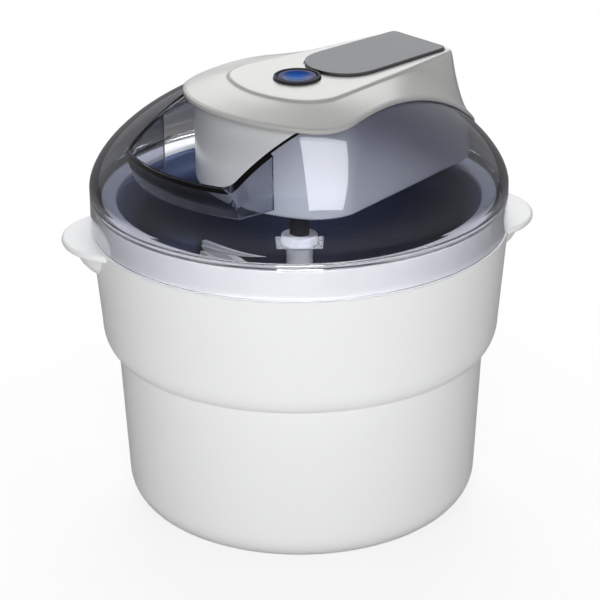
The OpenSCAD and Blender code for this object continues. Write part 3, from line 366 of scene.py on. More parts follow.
# %% Filler opening
FILLER_W = 38.0
FILLER_FLARE = 4.0
FILLER_BACK_Y = LIP_CORNER[1]
FILLER_R = 86.0
FILLER_CORNER = 5.0
CORNER_STEPS = 10
FRONT_STEPS = 24


def filler_front(x):
    return (x, -math.sqrt(FILLER_R ** 2 - x ** 2))


def filler_plan():
    """The filler opening in plan: straight flared sides and a front that follows the rim."""
    back = (FILLER_W + FILLER_FLARE, FILLER_BACK_Y)
    turn_x = FILLER_W - FILLER_CORNER
    tip = filler_front(FILLER_W)
    start = (tip[0], tip[1] + FILLER_CORNER)
    end = filler_front(turn_x)
    side = [back] + [bend(start, tip, end, i / CORNER_STEPS) for i in range(CORNER_STEPS + 1)]
    front = [filler_front(turn_x - 2 * turn_x * i / FRONT_STEPS) for i in range(1, FRONT_STEPS)]
    return side + front + [(-x, y) for x, y in reversed(side)]


print("points round the filler opening:", len(filler_plan()))

# %% [markdown]
# ## The chute
#
# A thin wall hangs down from the sides and the front of the filler opening, so that nothing
# splashes out. On the real lid it is moulded in one with the dome. Here it is a loft along its run
# in plan, which starts in the middle of the dome's wall, so that the two join without a seam.

# %% Chute
CHUTE_T = 1.8
CHUTE_H = 17.0
CHUTE_LOW_Z = dome_height(FILLER_R) - CHUTE_H
CHUTE_BACK_Y = LIP_NOSE_Y
CHUTE_LEAN = 5.0
CHUTE_EDGE = 0.5
CHUTE_SIDE_STEPS = 8
CHUTE_WALL_STEPS = 6


def chute_path():
    """The chute's run in plan, with its outward direction: side wall, front wall, side wall."""
    edge = filler_plan()
    share = (CHUTE_BACK_Y - edge[1][1]) / (FILLER_BACK_Y - edge[1][1])
    back = mix(edge[1], edge[0], share)
    edge = edge[1:-1]
    side = [mix(back, edge[0], i / CHUTE_SIDE_STEPS) for i in range(CHUTE_SIDE_STEPS)]
    run = side + edge + [(-x, y) for x, y in reversed(side)]
    made = []
    for i, place in enumerate(run):
        before = run[max(0, i - 1)]
        after = run[min(len(run) - 1, i + 1)]
        length = math.dist(before, after)
        made.append((place, (-(after[1] - before[1]) / length, (after[0] - before[0]) / length)))
    return made


def chute_point(place, away, out, z):
    """A point of the wall at height z: the front wall leans in as it goes down."""
    lean = CHUTE_LEAN * within((dome_height(FILLER_R) - z) / CHUTE_H)
    limit = FILLER_R - lean + out
    x = place[0] + away[0] * out
    y = place[1] + away[1] * out
    scale = min(1.0, limit / math.hypot(x, y))
    return (x * scale, y * scale, z)


def make_chute():
    steps = range(CHUTE_WALL_STEPS + 1)
    rings = []
    for place, away in chute_path():
        top = dome_height(math.hypot(*place), LID_WALL / 2)
        fall = CHUTE_LOW_Z + CHUTE_EDGE - top
        inner = [chute_point(place, away, 0.0, top + fall * i / CHUTE_WALL_STEPS) for i in steps]
        across = (CHUTE_EDGE, CHUTE_T - CHUTE_EDGE)
        foot = [chute_point(place, away, out, CHUTE_LOW_Z) for out in across]
        outer = [chute_point(place, away, CHUTE_T, z) for x, y, z in reversed(inner)]
        rings.append(inner + foot + outer)
    return loft("chute", rings)


print("the chute ends", round(CHUTE_LOW_Z, 1), "mm above the table")

# %% [markdown]
# ## Turn the lid and cut it
#
# The openings are cut with prisms and the chute is joined on. The order matters: the filler
# opening comes first, then the chute, and the motor unit's opening is cut last, because it also
# takes away the chute's ends. The fold angle is a little smaller than elsewhere, which keeps the
# rib crisp under the clear wall.

# %% Turn the lid and cut its openings
LID_TOP_Z = SKIRT_Z + DOME_H
LID_FOLD = 25.0
CUT_UNDER = 1.0
CUT_OVER = 2.0


def make_lid():
    lid = turn("clear_lid", lid_outline())
    hole = [inward(j, LIP_W + TUCK[j] - TUB_GAP) for j in range(PLAN_N)]
    above = LID_TOP_Z + CUT_OVER
    boolean(lid, prism("filler_tool", filler_plan(), CHUTE_LOW_Z, above), "DIFFERENCE")
    boolean(lid, make_chute(), "UNION")
    boolean(lid, prism("tub_tool", hole, TUB_Z - CUT_UNDER, above), "DIFFERENCE")
    smooth(lid, LID_FOLD)
    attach(lid, "lid")
    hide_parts("dome_lid")
    return lid


lid = make_lid()
print("faces on the lid:", len(lid.data.polygons))

# %% [markdown]
# ## The cover's flank
#
# The cover is the piece that makes the machine's face. Its top is flat, its nose slopes down to
# the dome, its sides fall steeply and then hollow out into a thin lip, and the lip follows the
# dome. It could be sculpted, but a formula holds it exactly: each point of the lip's outline has a
# partner on the flat top, and a small profile joins the two. The profile starts with a small step
# at the flat top's edge. Its hollow grows with the height that it has to fall, which is why the
# nose is full and the rear is deeply hollow.

# %% Shape of the flank
DECK_Z = 224.3
LIP_T = 2.4
SHALLOW_DROP = 7.0
DEEP_DROP = 26.0
HOLLOW_POWER = 2.4
CROWN_POWER = 1.25
FLANK_STRAIGHT = 0.15
STEP_DROP = 1.0
STEP_RUN = 2.4
THIN_WALL = 0.5


def ease(t):
    """A share that starts and ends softly."""
    return t * t * (3.0 - 2.0 * t)


def lip_top(j):
    """Height of the lip's upper edge on the outline's line j."""
    return dome_height(math.hypot(*LIP_PLAN[j])) + SEAT_GAP + LIP_T


def flank_z(j, h):
    """Height of the flank: h runs from 0 at the flat top to 1 at the lip."""
    drop = DECK_Z - lip_top(j)
    hollow = within((drop - SHALLOW_DROP) / (DEEP_DROP - SHALLOW_DROP))
    h = within(h)
    step = ease(min(1.0, h * RUNS[j] / STEP_RUN))
    curved = 1.0 - max(0.0, 1.0 - h) ** HOLLOW_POWER
    steep = FLANK_STRAIGHT * h + (1.0 - FLANK_STRAIGHT) * curved
    full = h ** CROWN_POWER
    return DECK_Z - STEP_DROP * step - (drop - STEP_DROP) * (full + (steep - full) * hollow)


def at(j, d, z):
    """The point at height z over the outline's line j, a distance d in from the lip's edge."""
    x, y = inward(j, d)
    return (x, y, z)


def seat_z(j, d):
    """The cover's underside and the tub's upper edge: on the dome, but always under the flank."""
    on_dome = dome_height(math.hypot(*inward(j, d))) + SEAT_GAP
    return min(on_dome, flank_z(j, 1.0 - d / RUNS[j]) - THIN_WALL)


nose_drop, rear_drop = (round(DECK_Z - lip_top(j), 1) for j in (0, PLAN_N // 2))
print("the flank falls", nose_drop, "mm at the nose and", rear_drop, "mm at the rear")

# %% [markdown]
# ## The cover's rings
#
# The real cover is moulded about two millimetres thick and open below. The loft follows one closed
# path over its wall: down the inner side, out under the lip, round the lip's edge and up the
# flank to the flat top. Each stretch of that path is a function, so that the rings can be close
# together where the surface curves and far apart where it does not.

# %% Rings of the cover
TUB_WALL = 2.2
COVER_WALL = 2.2
SEAT_CLEAR = 0.4
LIP_CHAMFER_IN = 0.6
LIP_CHAMFER_UP = 0.5
LIP_ROUND = 0.9
LIP_BEVEL = 0.25
DECK_EDGE = 0.8
UNDER_STEPS = 8
FLANK_STEPS = 34
DECK_EDGE_STEPS = 4


def ring_of(d_and_z):
    """One ring, from a function that gives the inward distance and the height on line j."""
    return [at(j, *d_and_z(j)) for j in range(PLAN_N)]


def under_ring(share):
    """The cover's inner side: share runs from 0 at the tub to 1 under the flat top."""
    def place(j):
        near = LIP_W + TUB_WALL + SEAT_CLEAR + TUCK[j]
        d = near + (RUNS[j] + COVER_WALL - near) * share
        return d, flank_z(j, 1 - (d - COVER_WALL) / RUNS[j]) - COVER_WALL

    return ring_of(place)


def seat_ring(d, tucked, rise=0.0):
    """The underside of the lip, at distance d from its edge or from the tucked tub's face."""
    def place(j):
        inset = d + TUCK[j] if tucked else d
        return inset, seat_z(j, inset) + rise

    return ring_of(place)


def flank_ring(t):
    """The outer side: t runs from 0 at the lip to 1 at the start of the flat top's soft edge."""
    def place(j):
        first = LIP_ROUND / RUNS[j]
        share = first + (1.0 - DECK_EDGE / RUNS[j] - first) * t
        return share * RUNS[j], flank_z(j, 1 - share)

    return ring_of(place)


def deck_edge_ring(t):
    """The soft edge of the flat top, from t = 0 on the flank to t = 1 on the top."""
    def place(j):
        low = (RUNS[j] - DECK_EDGE, flank_z(j, DECK_EDGE / RUNS[j]))
        return bend(low, (RUNS[j], DECK_Z), (RUNS[j] + DECK_EDGE, DECK_Z), t)

    return ring_of(place)


def cover_rings():
    tub_face = LIP_W + TUB_WALL
    rings = [under_ring(i / UNDER_STEPS) for i in range(UNDER_STEPS, -1, -1)]
    rings += [seat_ring(tub_face, True), seat_ring(LIP_W, True), seat_ring(LIP_CHAMFER_IN, False)]
    rings.append(seat_ring(0.0, False, LIP_CHAMFER_UP))
    rings.append(ring_of(lambda j: (0.0, lip_top(j) - LIP_ROUND)))
    rings.append(ring_of(lambda j: (LIP_BEVEL, lip_top(j) - LIP_BEVEL)))
    rings += [flank_ring(i / FLANK_STEPS) for i in range(1, FLANK_STEPS + 1)]
    return rings + [deck_edge_ring(i / DECK_EDGE_STEPS) for i in range(1, DECK_EDGE_STEPS + 1)]


print("rings in the cover:", len(cover_rings()))

# %% [markdown]
# ## The recess and the button's hole
#
# The plate is glued into a shallow recess, with a thin dark gap round it, and the button's ring
# sits in a round hole. Both are cut after the loft, so the gap stays even all round.

# %% Loft the cover and cut it
PLATE_GAP = 0.5
PLATE_RECESS = 0.9
PLATE_NOSE_Y = 12.4
PLATE_FRONT = (20.4, 16.4)
PLATE_REAR = (18.8, 84.0)
PLATE_FRONT_RUN = 17.0
PLATE_REAR_RUN = 3.0
PLATE_STEPS = (24, 20, 12, 10)
CIRCLE_STEPS = 96
BUTTON_Y = -0.4
RING_R = 12.0
RING_SEAT_W = 0.97
BUTTON_HOLE_R = RING_R - RING_SEAT_W
BUTTON_HOLE_DEPTH = 4.0


def plate_plan(grow):
    """The outline of the plate on the flat top, grown outwards."""
    front = (PLATE_FRONT[0] + grow, PLATE_FRONT[1] - grow)
    rear = (PLATE_REAR[0] + grow, PLATE_REAR[1] + grow)
    return plan(PLATE_NOSE_Y - grow, front, rear, PLATE_FRONT_RUN, PLATE_REAR_RUN, PLATE_STEPS)


def circle_plan(radius, y):
    angles = [2 * math.pi * i / CIRCLE_STEPS for i in range(CIRCLE_STEPS)]
    return [(radius * math.cos(a), y + radius * math.sin(a)) for a in angles]


def make_cover():
    cover = loft("motor_cover_shell", cover_rings())
    above = DECK_Z + CUT_OVER
    recess = prism("recess", plate_plan(PLATE_GAP), DECK_Z - PLATE_RECESS, above)
    boolean(cover, recess, "DIFFERENCE")
    hole = prism("hole", circle_plan(BUTTON_HOLE_R, BUTTON_Y), DECK_Z - BUTTON_HOLE_DEPTH, above)
    boolean(cover, hole, "DIFFERENCE")
    smooth(cover)
    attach(cover, "motor_unit")
    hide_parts("motor_cover")
    return cover


cover = make_cover()
print("faces on the cover:", len(cover.data.polygons))

# %% [markdown]
# ## The motor unit's tub
#
# Below the lip the motor unit goes on as a deep white tub, which shows through the lid. It has the
# cover's plan a little smaller, upright walls, and a soft edge round its floor.

# %% Loft the tub
TUB_FLOOR = 2.4
TUB_EDGE = 1.6
TUB_RISE_STEPS = 5
BUSH_HOLE_R = 8.03
BUSH_CUT_UNDER = 2.0
BUSH_CUT_OVER = 6.0


def tucked_ring(d, z=None):
    """A ring at distance d behind the tucked edge, at height z or up at the cover's underside."""
    return ring_of(lambda j: (d + TUCK[j], seat_z(j, d + TUCK[j]) if z is None else z))


def wall_ring(share):
    """The tub's outer wall: share runs from 0 over the soft edge to 1 under the cover."""
    low = TUB_Z + TUB_EDGE
    return ring_of(lambda j: (LIP_W + TUCK[j], low + (seat_z(j, LIP_W + TUCK[j]) - low) * share))


def tub_rings():
    """Floor edge, outer wall, rim, and back down the inner wall."""
    edge = arc(LIP_W + TUB_EDGE, TUB_Z + TUB_EDGE, TUB_EDGE, TUB_EDGE, 270, 180, EDGE_STEPS)
    rings = [tucked_ring(d, z) for d, z in edge]
    rings += [wall_ring(i / TUB_RISE_STEPS) for i in range(1, TUB_RISE_STEPS + 1)]
    inner = LIP_W + TUB_WALL
    return rings + [tucked_ring(inner), tucked_ring(inner, TUB_Z + TUB_FLOOR)]


def make_tub():
    tub = loft("motor_tub_shell", tub_rings())
    low = TUB_Z - BUSH_CUT_UNDER
    bush_hole = prism("bush_hole", circle_plan(BUSH_HOLE_R, 0.0), low, TUB_Z + BUSH_CUT_OVER)
    boolean(tub, bush_hole, "DIFFERENCE")
    smooth(tub)
    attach(tub, "motor_unit")
    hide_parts("motor_tub")
    return tub


tub = make_tub()
print("faces on the tub:", len(tub.data.polygons))

# %% [markdown]
# ## Smoother shading for the CAD pieces
#
# The other pieces keep the CAD mesh, because their shapes are right. A CAD mesh comes as separate
# faces, so its turned parts would show their flats. A small geometry node tree joins the faces and
# marks only the real edges as sharp. The mesh itself stays as it is: the tree is a modifier.

# %% Join and smooth the CAD faces
JOIN_DISTANCE = 0.01 * MM
CAD_FOLD = 28.0


def smoothing_tree(fold_angle):
    tree = bpy.data.node_groups.new("smooth_cad_faces", "GeometryNodeTree")
    tree.interface.new_socket(name="Geometry", in_out="INPUT", socket_type="NodeSocketGeometry")
    tree.interface.new_socket(name="Geometry", in_out="OUTPUT", socket_type="NodeSocketGeometry")
    start = tree.nodes.new("NodeGroupInput")
    end = tree.nodes.new("NodeGroupOutput")
    merge = tree.nodes.new("GeometryNodeMergeByDistance")
    merge.inputs["Distance"].default_value = JOIN_DISTANCE
    faces = tree.nodes.new("GeometryNodeSetShadeSmooth")
    faces.domain = "FACE"
    edges = tree.nodes.new("GeometryNodeSetShadeSmooth")
    edges.domain = "EDGE"
    edges.inputs["Shade Smooth"].default_value = False
    fold = tree.nodes.new("GeometryNodeInputMeshEdgeAngle")
    sharp = tree.nodes.new("FunctionNodeCompare")
    sharp.operation = "GREATER_THAN"
    sharp.inputs["B"].default_value = math.radians(fold_angle)
    forget = tree.nodes.new("GeometryNodeRemoveAttribute")
    forget.inputs["Name"].default_value = "custom_normal"
    tree.links.new(start.outputs[0], forget.inputs["Geometry"])
    tree.links.new(forget.outputs["Geometry"], merge.inputs["Geometry"])
    tree.links.new(merge.outputs["Geometry"], faces.inputs["Geometry"])
    tree.links.new(faces.outputs["Geometry"], edges.inputs["Geometry"])
    tree.links.new(fold.outputs["Unsigned Angle"], sharp.inputs["A"])
    tree.links.new(sharp.outputs["Result"], edges.inputs["Selection"])
    tree.links.new(edges.outputs["Geometry"], end.inputs[0])
    return tree


cad_smoothing = smoothing_tree(CAD_FOLD)
REPLACED = {"dome_lid", "motor_cover", "motor_tub"}
for name, piece in nodes.items():
    if name not in REPLACED:
        step = piece.modifiers.new("smooth_cad_faces", "NODES")
        step.node_group = cad_smoothing
print("CAD pieces smoothed:", len(nodes) - len(REPLACED))

# %% [markdown]
# ## Shared effects
#
# Moulded plastic is never one flat colour. Its skin has a very fine grain from the mould, and its
# tone drifts a little over a hand's width. Metal shows the direction in which it was worked. Each
# effect is one node group with named inputs, so every material sets its own scale and strength.

# %% Node helpers
ZERO_TO_ONE = (0.0, 1.0)


def new_group(name, inputs, outputs):
    group = bpy.data.node_groups.new(name, "ShaderNodeTree")
    for label, value in inputs:
        socket = group.interface.new_socket(name=label, in_out="INPUT", socket_type="NodeSocketFloat")
        socket.default_value = value
    for label in outputs:
        group.interface.new_socket(name=label, in_out="OUTPUT", socket_type="NodeSocketFloat")
    start = group.nodes.new("NodeGroupInput")
    end = group.nodes.new("NodeGroupOutput")
    return group, start, end


def feed(tree, source, socket):
    """Fills a socket with a number, a colour or another node's output."""
    if isinstance(source, (int, float)):
        socket.default_value = source
    elif isinstance(source, tuple):
        socket.default_value = (*source, 1.0)
    else:
        tree.links.new(source, socket)


def maths(tree, operation, a, b=None):
    node = tree.nodes.new("ShaderNodeMath")
    node.operation = operation
    feed(tree, a, node.inputs[0])
    if b is not None:
        feed(tree, b, node.inputs[1])
    return node.outputs[0]


def noise(tree, place, scale, detail=2.0, rough=0.5):
    node = tree.nodes.new("ShaderNodeTexNoise")
    for label, source in (("Vector", place), ("Scale", scale), ("Detail", detail), ("Roughness", rough)):
        feed(tree, source, node.inputs[label])
    return node.outputs["Fac"]


def ramp(tree, value, start, end, soft=False):
    """Maps a value from the pair start to the pair end, in a straight line or with soft ends."""
    node = tree.nodes.new("ShaderNodeMapRange")
    if soft:
        node.interpolation_type = "SMOOTHSTEP"
    for label, number in zip(("From Min", "From Max", "To Min", "To Max"), (*start, *end)):
        feed(tree, number, node.inputs[label])
    feed(tree, value, node.inputs["Value"])
    return node.outputs["Result"]


def object_place(tree):
    """The place on the object, in metres from the machine's foot."""
    return tree.nodes.new("ShaderNodeTexCoord").outputs["Object"]


print("node helpers ready")

# %% [markdown]
# ## Places taken apart
#
# Most effects ask where on the object they are. Some need one direction of that place, such as
# the height, and some the distance from the upright axis, so the place is taken apart into X, Y
# and Z and put together again.

# %% Node helpers for places
def parts_of(tree, vector):
    node = tree.nodes.new("ShaderNodeSeparateXYZ")
    feed(tree, vector, node.inputs[0])
    return node.outputs["X"], node.outputs["Y"], node.outputs["Z"]


def vector_of(tree, **parts):
    node = tree.nodes.new("ShaderNodeCombineXYZ")
    for label, source in parts.items():
        feed(tree, source, node.inputs[label])
    return node.outputs[0]


def distance(tree, x, y):
    squares = maths(tree, "ADD", maths(tree, "MULTIPLY", x, x), maths(tree, "MULTIPLY", y, y))
    return maths(tree, "SQRT", squares)


print("helpers for places ready")

# %% [markdown]
# ## The skin of moulded plastic
#
# A mould is polished or blasted, and the plastic copies that surface as a fine grain. It could be
# one noise, but a slow swell under the grain is what makes a reflection waver on a real moulding.

# %% Effect: moulded skin
SWELL_SHARE = 0.06


def make_moulded_skin():
    """Height is a fine grain, and Drift a slow change of tone, both from 0 to 1."""
    inputs = [("Grain Scale", 900.0), ("Grain Depth", 0.5), ("Drift Scale", 12.0)]
    group, start, end = new_group("moulded_skin", inputs, ["Height", "Drift"])
    place = object_place(group)
    grain_scale = start.outputs["Grain Scale"]
    grain = noise(group, place, grain_scale, detail=3.0)
    swell = noise(group, place, maths(group, "MULTIPLY", grain_scale, SWELL_SHARE), detail=1.0)
    height = maths(group, "MULTIPLY", grain, start.outputs["Grain Depth"])
    feed(group, maths(group, "ADD", height, swell), end.inputs["Height"])
    feed(group, noise(group, place, start.outputs["Drift Scale"]), end.inputs["Drift"])
    return group


moulded_skin = make_moulded_skin()
print("group:", moulded_skin.name)

# %% [markdown]
# ## Rings left by turning
#
# A bowl spun over a former and a shaft turned in a lathe both keep rings round their axis. A noise
# that only reads the distance from the axis and the height draws exactly such rings.

# %% Effect: rings left by turning or spinning metal
PATCH_BASE = 0.5


def make_turned_rings():
    """Streak runs in rings round the upright axis, and Height is the same rings as a relief."""
    inputs = [("Ring Scale", 900.0), ("Patch Scale", 25.0)]
    group, start, end = new_group("turned_rings", inputs, ["Height", "Streak"])
    place = object_place(group)
    x, y, z = parts_of(group, place)
    across = vector_of(group, X=distance(group, x, y), Z=z)
    rings = noise(group, across, start.outputs["Ring Scale"], detail=4.0, rough=0.65)
    patch = noise(group, place, start.outputs["Patch Scale"])
    feed(group, rings, end.inputs["Height"])
    streak = maths(group, "MULTIPLY", rings, maths(group, "ADD", patch, PATCH_BASE))
    feed(group, streak, end.inputs["Streak"])
    return group


turned_rings = make_turned_rings()
print("group:", turned_rings.name)

# %% [markdown]
# ## Lines left by rolling
#
# Sheet metal leaves the rollers with fine lines that all run one way. They are made here by
# stretching a noise along the Y axis until its grains become lines.

# %% Effect: lines left by rolling or brushing
LINE_CONTRAST = 1.6


def make_drawn_lines():
    """Fine lines along the Y axis, stretched out of a noise."""
    inputs = [("Line Scale", 700.0), ("Stretch", 0.02)]
    group, start, end = new_group("drawn_lines", inputs, ["Height", "Streak"])
    x, y, z = parts_of(group, object_place(group))
    stretched = vector_of(group, X=x, Y=maths(group, "MULTIPLY", y, start.outputs["Stretch"]), Z=z)
    lines = noise(group, stretched, start.outputs["Line Scale"], detail=3.0, rough=0.6)
    feed(group, lines, end.inputs["Height"])
    feed(group, maths(group, "POWER", lines, LINE_CONTRAST), end.inputs["Streak"])
    return group


drawn_lines = make_drawn_lines()
print("group:", drawn_lines.name)

# %% [markdown]
# ## Dust
#
# Even a clean kitchen machine has a little dust on what faces up. The mask follows the upward
# part of the surface's direction, and a noise breaks it into flecks.

# %% Effect: dust that settles on what faces up
DUST_FALLOFF = 3.0


def make_settled_dust():
    """Mask is strongest on level faces and broken up by a noise."""
    inputs = [("Amount", 0.1), ("Fleck Scale", 260.0)]
    group, start, end = new_group("settled_dust", inputs, ["Mask"])
    upward = parts_of(group, group.nodes.new("ShaderNodeNewGeometry").outputs["Normal"])[2]
    level = maths(group, "POWER", maths(group, "MAXIMUM", upward, 0.0), DUST_FALLOFF)
    place = object_place(group)
    flecks = noise(group, place, start.outputs["Fleck Scale"], detail=4.0, rough=0.7)
    mask = maths(group, "MULTIPLY", maths(group, "MULTIPLY", level, flecks), start.outputs["Amount"])
    feed(group, mask, end.inputs["Mask"])
    return group


settled_dust = make_settled_dust()
print("group:", settled_dust.name)

# %% [markdown]
# ## One recipe for plastics and one for metals
#
# Every moulding on the machine differs only in its tones, gloss and grain, and every metal part
# only in how it was worked. So each family is one function, and a finish is a row of numbers.

# %% Material helpers
DUST_TONE = (0.55, 0.54, 0.52)


def new_material(name):
    made = bpy.data.materials.new(name)
    made.use_nodes = True
    shader = made.node_tree.nodes["Principled BSDF"]
    return made, made.node_tree, shader


def set_values(node, values):
    """Sets plain sockets. An underscore in a key stands for a space."""
    for label, value in values.items():
        node.inputs[label.replace("_", " ")].default_value = value


def place_group(tree, group, **values):
    node = tree.nodes.new("ShaderNodeGroup")
    node.node_tree = group
    set_values(node, values)
    return node


def blend_colours(tree, share, first, second):
    node = tree.nodes.new("ShaderNodeMix")
    node.data_type = "RGBA"
    for label, source in (("Factor", share), ("A", first), ("B", second)):
        feed(tree, source, node.inputs[label])
    return node.outputs["Result"]


def switch_shaders(tree, share, first, second):
    node = tree.nodes.new("ShaderNodeMixShader")
    for socket, source in zip(node.inputs, (share, first, second)):
        feed(tree, source, socket)
    return node.outputs[0]


def cover_with(tree, shader_output):
    feed(tree, shader_output, tree.nodes["Material Output"].inputs["Surface"])


def relief(tree, shader, height, depth):
    """A bump of depth millimetres."""
    node = tree.nodes.new("ShaderNodeBump")
    node.inputs["Distance"].default_value = depth * MM
    node.inputs["Strength"].default_value = 1.0
    feed(tree, height, node.inputs["Height"])
    feed(tree, node.outputs["Normal"], shader.inputs["Normal"])


def plastic(name, tones, gloss, grain, depth, drift, dust, **values):
    """Moulded plastic. tones and gloss are each a pair, for the two ends of the slow drift."""
    made, tree, shader = new_material(name)
    skin = place_group(tree, moulded_skin, Grain_Scale=grain[0], Grain_Depth=grain[1], Drift_Scale=drift)
    settled = place_group(tree, settled_dust, Amount=dust)
    tone = blend_colours(tree, skin.outputs["Drift"], *tones)
    dusted = blend_colours(tree, settled.outputs["Mask"], tone, DUST_TONE)
    feed(tree, dusted, shader.inputs["Base Color"])
    feed(tree, ramp(tree, skin.outputs["Drift"], ZERO_TO_ONE, gloss), shader.inputs["Roughness"])
    relief(tree, shader, skin.outputs["Height"], depth)
    set_values(shader, values)
    return made


def metal(name, group, marks, tones, gloss, depth):
    """Worked metal, with the streaks of its group in its tone, gloss and relief."""
    made, tree, shader = new_material(name)
    worked = place_group(tree, group, **marks)
    streak = worked.outputs["Streak"]
    feed(tree, blend_colours(tree, streak, *tones), shader.inputs["Base Color"])
    feed(tree, ramp(tree, streak, ZERO_TO_ONE, gloss), shader.inputs["Roughness"])
    relief(tree, shader, worked.outputs["Height"], depth)
    shader.inputs["Metallic"].default_value = 1.0
    return made


print("material helpers ready")

# %% [markdown]
# ## The plastics
#
# The bucket, the bowl and the paddle are white mouldings, each with its own white, and the tub is
# a greyer and glossier one. The cover has a silver lacquer with metal flakes in it, which is
# bright where it is level and turns grey wherever it slopes, so it is half metallic. The rest is
# unseen or small: black drive parts, a red plunger, cream gears, a blue cooling gel and rubber.

# %% Plastics
PLASTICS = {
    "white_body": dict(
        tones=((0.80, 0.805, 0.805), (0.83, 0.835, 0.835)), gloss=(0.26, 0.34),
        grain=(700.0, 0.35), depth=0.003, drift=9.0, dust=0.03, IOR=1.38,
    ),
    "white_bowl": dict(
        tones=((0.80, 0.805, 0.81), (0.83, 0.835, 0.84)), gloss=(0.24, 0.34),
        grain=(800.0, 0.4), depth=0.003, drift=14.0, dust=0.0, IOR=1.5,
    ),
    "paddle_white": dict(
        tones=((0.86, 0.86, 0.85), (0.91, 0.91, 0.90)), gloss=(0.30, 0.42),
        grain=(900.0, 0.6), depth=0.004, drift=30.0, dust=0.0,
    ),
    "tub_white": dict(
        tones=((0.60, 0.605, 0.60), (0.65, 0.655, 0.65)), gloss=(0.14, 0.22),
        grain=(800.0, 0.3), depth=0.003, drift=11.0, dust=0.0, IOR=1.5,
    ),
    "cover_grey": dict(
        tones=((0.60, 0.60, 0.59), (0.66, 0.66, 0.65)), gloss=(0.30, 0.38),
        grain=(1500.0, 0.9), depth=0.006, drift=10.0, dust=0.03, Metallic=0.55,
    ),
    "ring_black": dict(
        tones=((0.006, 0.006, 0.008), (0.012, 0.012, 0.014)), gloss=(0.10, 0.18),
        grain=(900.0, 0.3), depth=0.002, drift=60.0, dust=0.03,
    ),
    "switch_black": dict(
        tones=((0.02, 0.02, 0.022), (0.035, 0.035, 0.038)), gloss=(0.45, 0.60),
        grain=(1200.0, 0.8), depth=0.006, drift=60.0, dust=0.0,
    ),
    "plunger_red": dict(
        tones=((0.35, 0.02, 0.015), (0.45, 0.03, 0.02)), gloss=(0.30, 0.45),
        grain=(1200.0, 0.6), depth=0.004, drift=90.0, dust=0.0,
    ),
    "drive_black": dict(
        tones=((0.02, 0.02, 0.022), (0.04, 0.04, 0.042)), gloss=(0.35, 0.50),
        grain=(1400.0, 0.9), depth=0.006, drift=60.0, dust=0.0,
    ),
    "gear_white": dict(
        tones=((0.68, 0.65, 0.55), (0.76, 0.73, 0.63)), gloss=(0.38, 0.52),
        grain=(1300.0, 0.7), depth=0.005, drift=60.0, dust=0.0,
    ),
    "cooling_gel": dict(
        tones=((0.25, 0.50, 0.68), (0.38, 0.62, 0.78)), gloss=(0.10, 0.22),
        grain=(200.0, 0.4), depth=0.05, drift=30.0, dust=0.0,
    ),
    "feet_rubber": dict(
        tones=((0.02, 0.02, 0.022), (0.035, 0.035, 0.037)), gloss=(0.70, 0.85),
        grain=(1600.0, 1.0), depth=0.02, drift=40.0, dust=0.0,
    ),
    "seal_rubber": dict(
        tones=((0.14, 0.145, 0.15), (0.18, 0.185, 0.19)), gloss=(0.60, 0.75),
        grain=(1600.0, 1.0), depth=0.01, drift=40.0, dust=0.0,
    ),
    "grommet_rubber": dict(
        tones=((0.012, 0.012, 0.012), (0.022, 0.022, 0.022)), gloss=(0.55, 0.70),
        grain=(1600.0, 1.0), depth=0.01, drift=60.0, dust=0.05,
    ),
}
finishes = {name: plastic(name, **values) for name, values in PLASTICS.items()}
print("plastics:", len(PLASTICS))

# %% [markdown]
# ## The metals
#
# The bowl's inside is spun from aluminium and then darkened, so its marks run in rings. Sheet
# parts were rolled, so their lines run one way. The motor's winding is enamelled copper wire,
# whose turns are finer than any tool mark.

# %% Metals
RINGS = dict(group=turned_rings, marks={"Ring_Scale": 700.0, "Patch_Scale": 18.0})
WINDINGS = dict(group=turned_rings, marks={"Ring_Scale": 2200.0, "Patch_Scale": 60.0})
LINES = dict(group=drawn_lines, marks={"Line_Scale": 900.0, "Stretch": 0.03})
METALS = {
    "bowl_metal": dict(
        **RINGS, tones=((0.11, 0.145, 0.26), (0.20, 0.25, 0.42)), gloss=(0.38, 0.50), depth=0.003,
    ),
    "inlay_grey": dict(
        **LINES, tones=((0.20, 0.205, 0.215), (0.27, 0.275, 0.285)), gloss=(0.34, 0.46), depth=0.003,
    ),
    "plate_steel": dict(
        **LINES, tones=((0.42, 0.43, 0.45), (0.60, 0.61, 0.63)), gloss=(0.28, 0.45), depth=0.004,
    ),
    "can_steel": dict(
        **RINGS, tones=((0.38, 0.39, 0.41), (0.55, 0.56, 0.58)), gloss=(0.25, 0.42), depth=0.004,
    ),
    "shaft_steel": dict(
        **RINGS, tones=((0.48, 0.49, 0.50), (0.66, 0.67, 0.68)), gloss=(0.15, 0.28), depth=0.002,
    ),
    "screw_steel": dict(
        **RINGS, tones=((0.50, 0.51, 0.52), (0.68, 0.69, 0.70)), gloss=(0.22, 0.36), depth=0.003,
    ),
    "spring_steel": dict(
        **LINES, tones=((0.45, 0.45, 0.46), (0.65, 0.65, 0.66)), gloss=(0.20, 0.34), depth=0.003,
    ),
    "brass": dict(
        **RINGS, tones=((0.60, 0.40, 0.14), (0.80, 0.60, 0.28)), gloss=(0.20, 0.36), depth=0.003,
    ),
    "coil_copper": dict(
        **WINDINGS, tones=((0.42, 0.15, 0.06), (0.72, 0.34, 0.17)), gloss=(0.22, 0.40), depth=0.05,
    ),
    "magnet_dark": dict(
        **RINGS, tones=((0.05, 0.05, 0.055), (0.10, 0.10, 0.105)), gloss=(0.50, 0.68), depth=0.006,
    ),
}
finishes.update({name: metal(name, **values) for name, values in METALS.items()})
print("metals:", len(METALS))
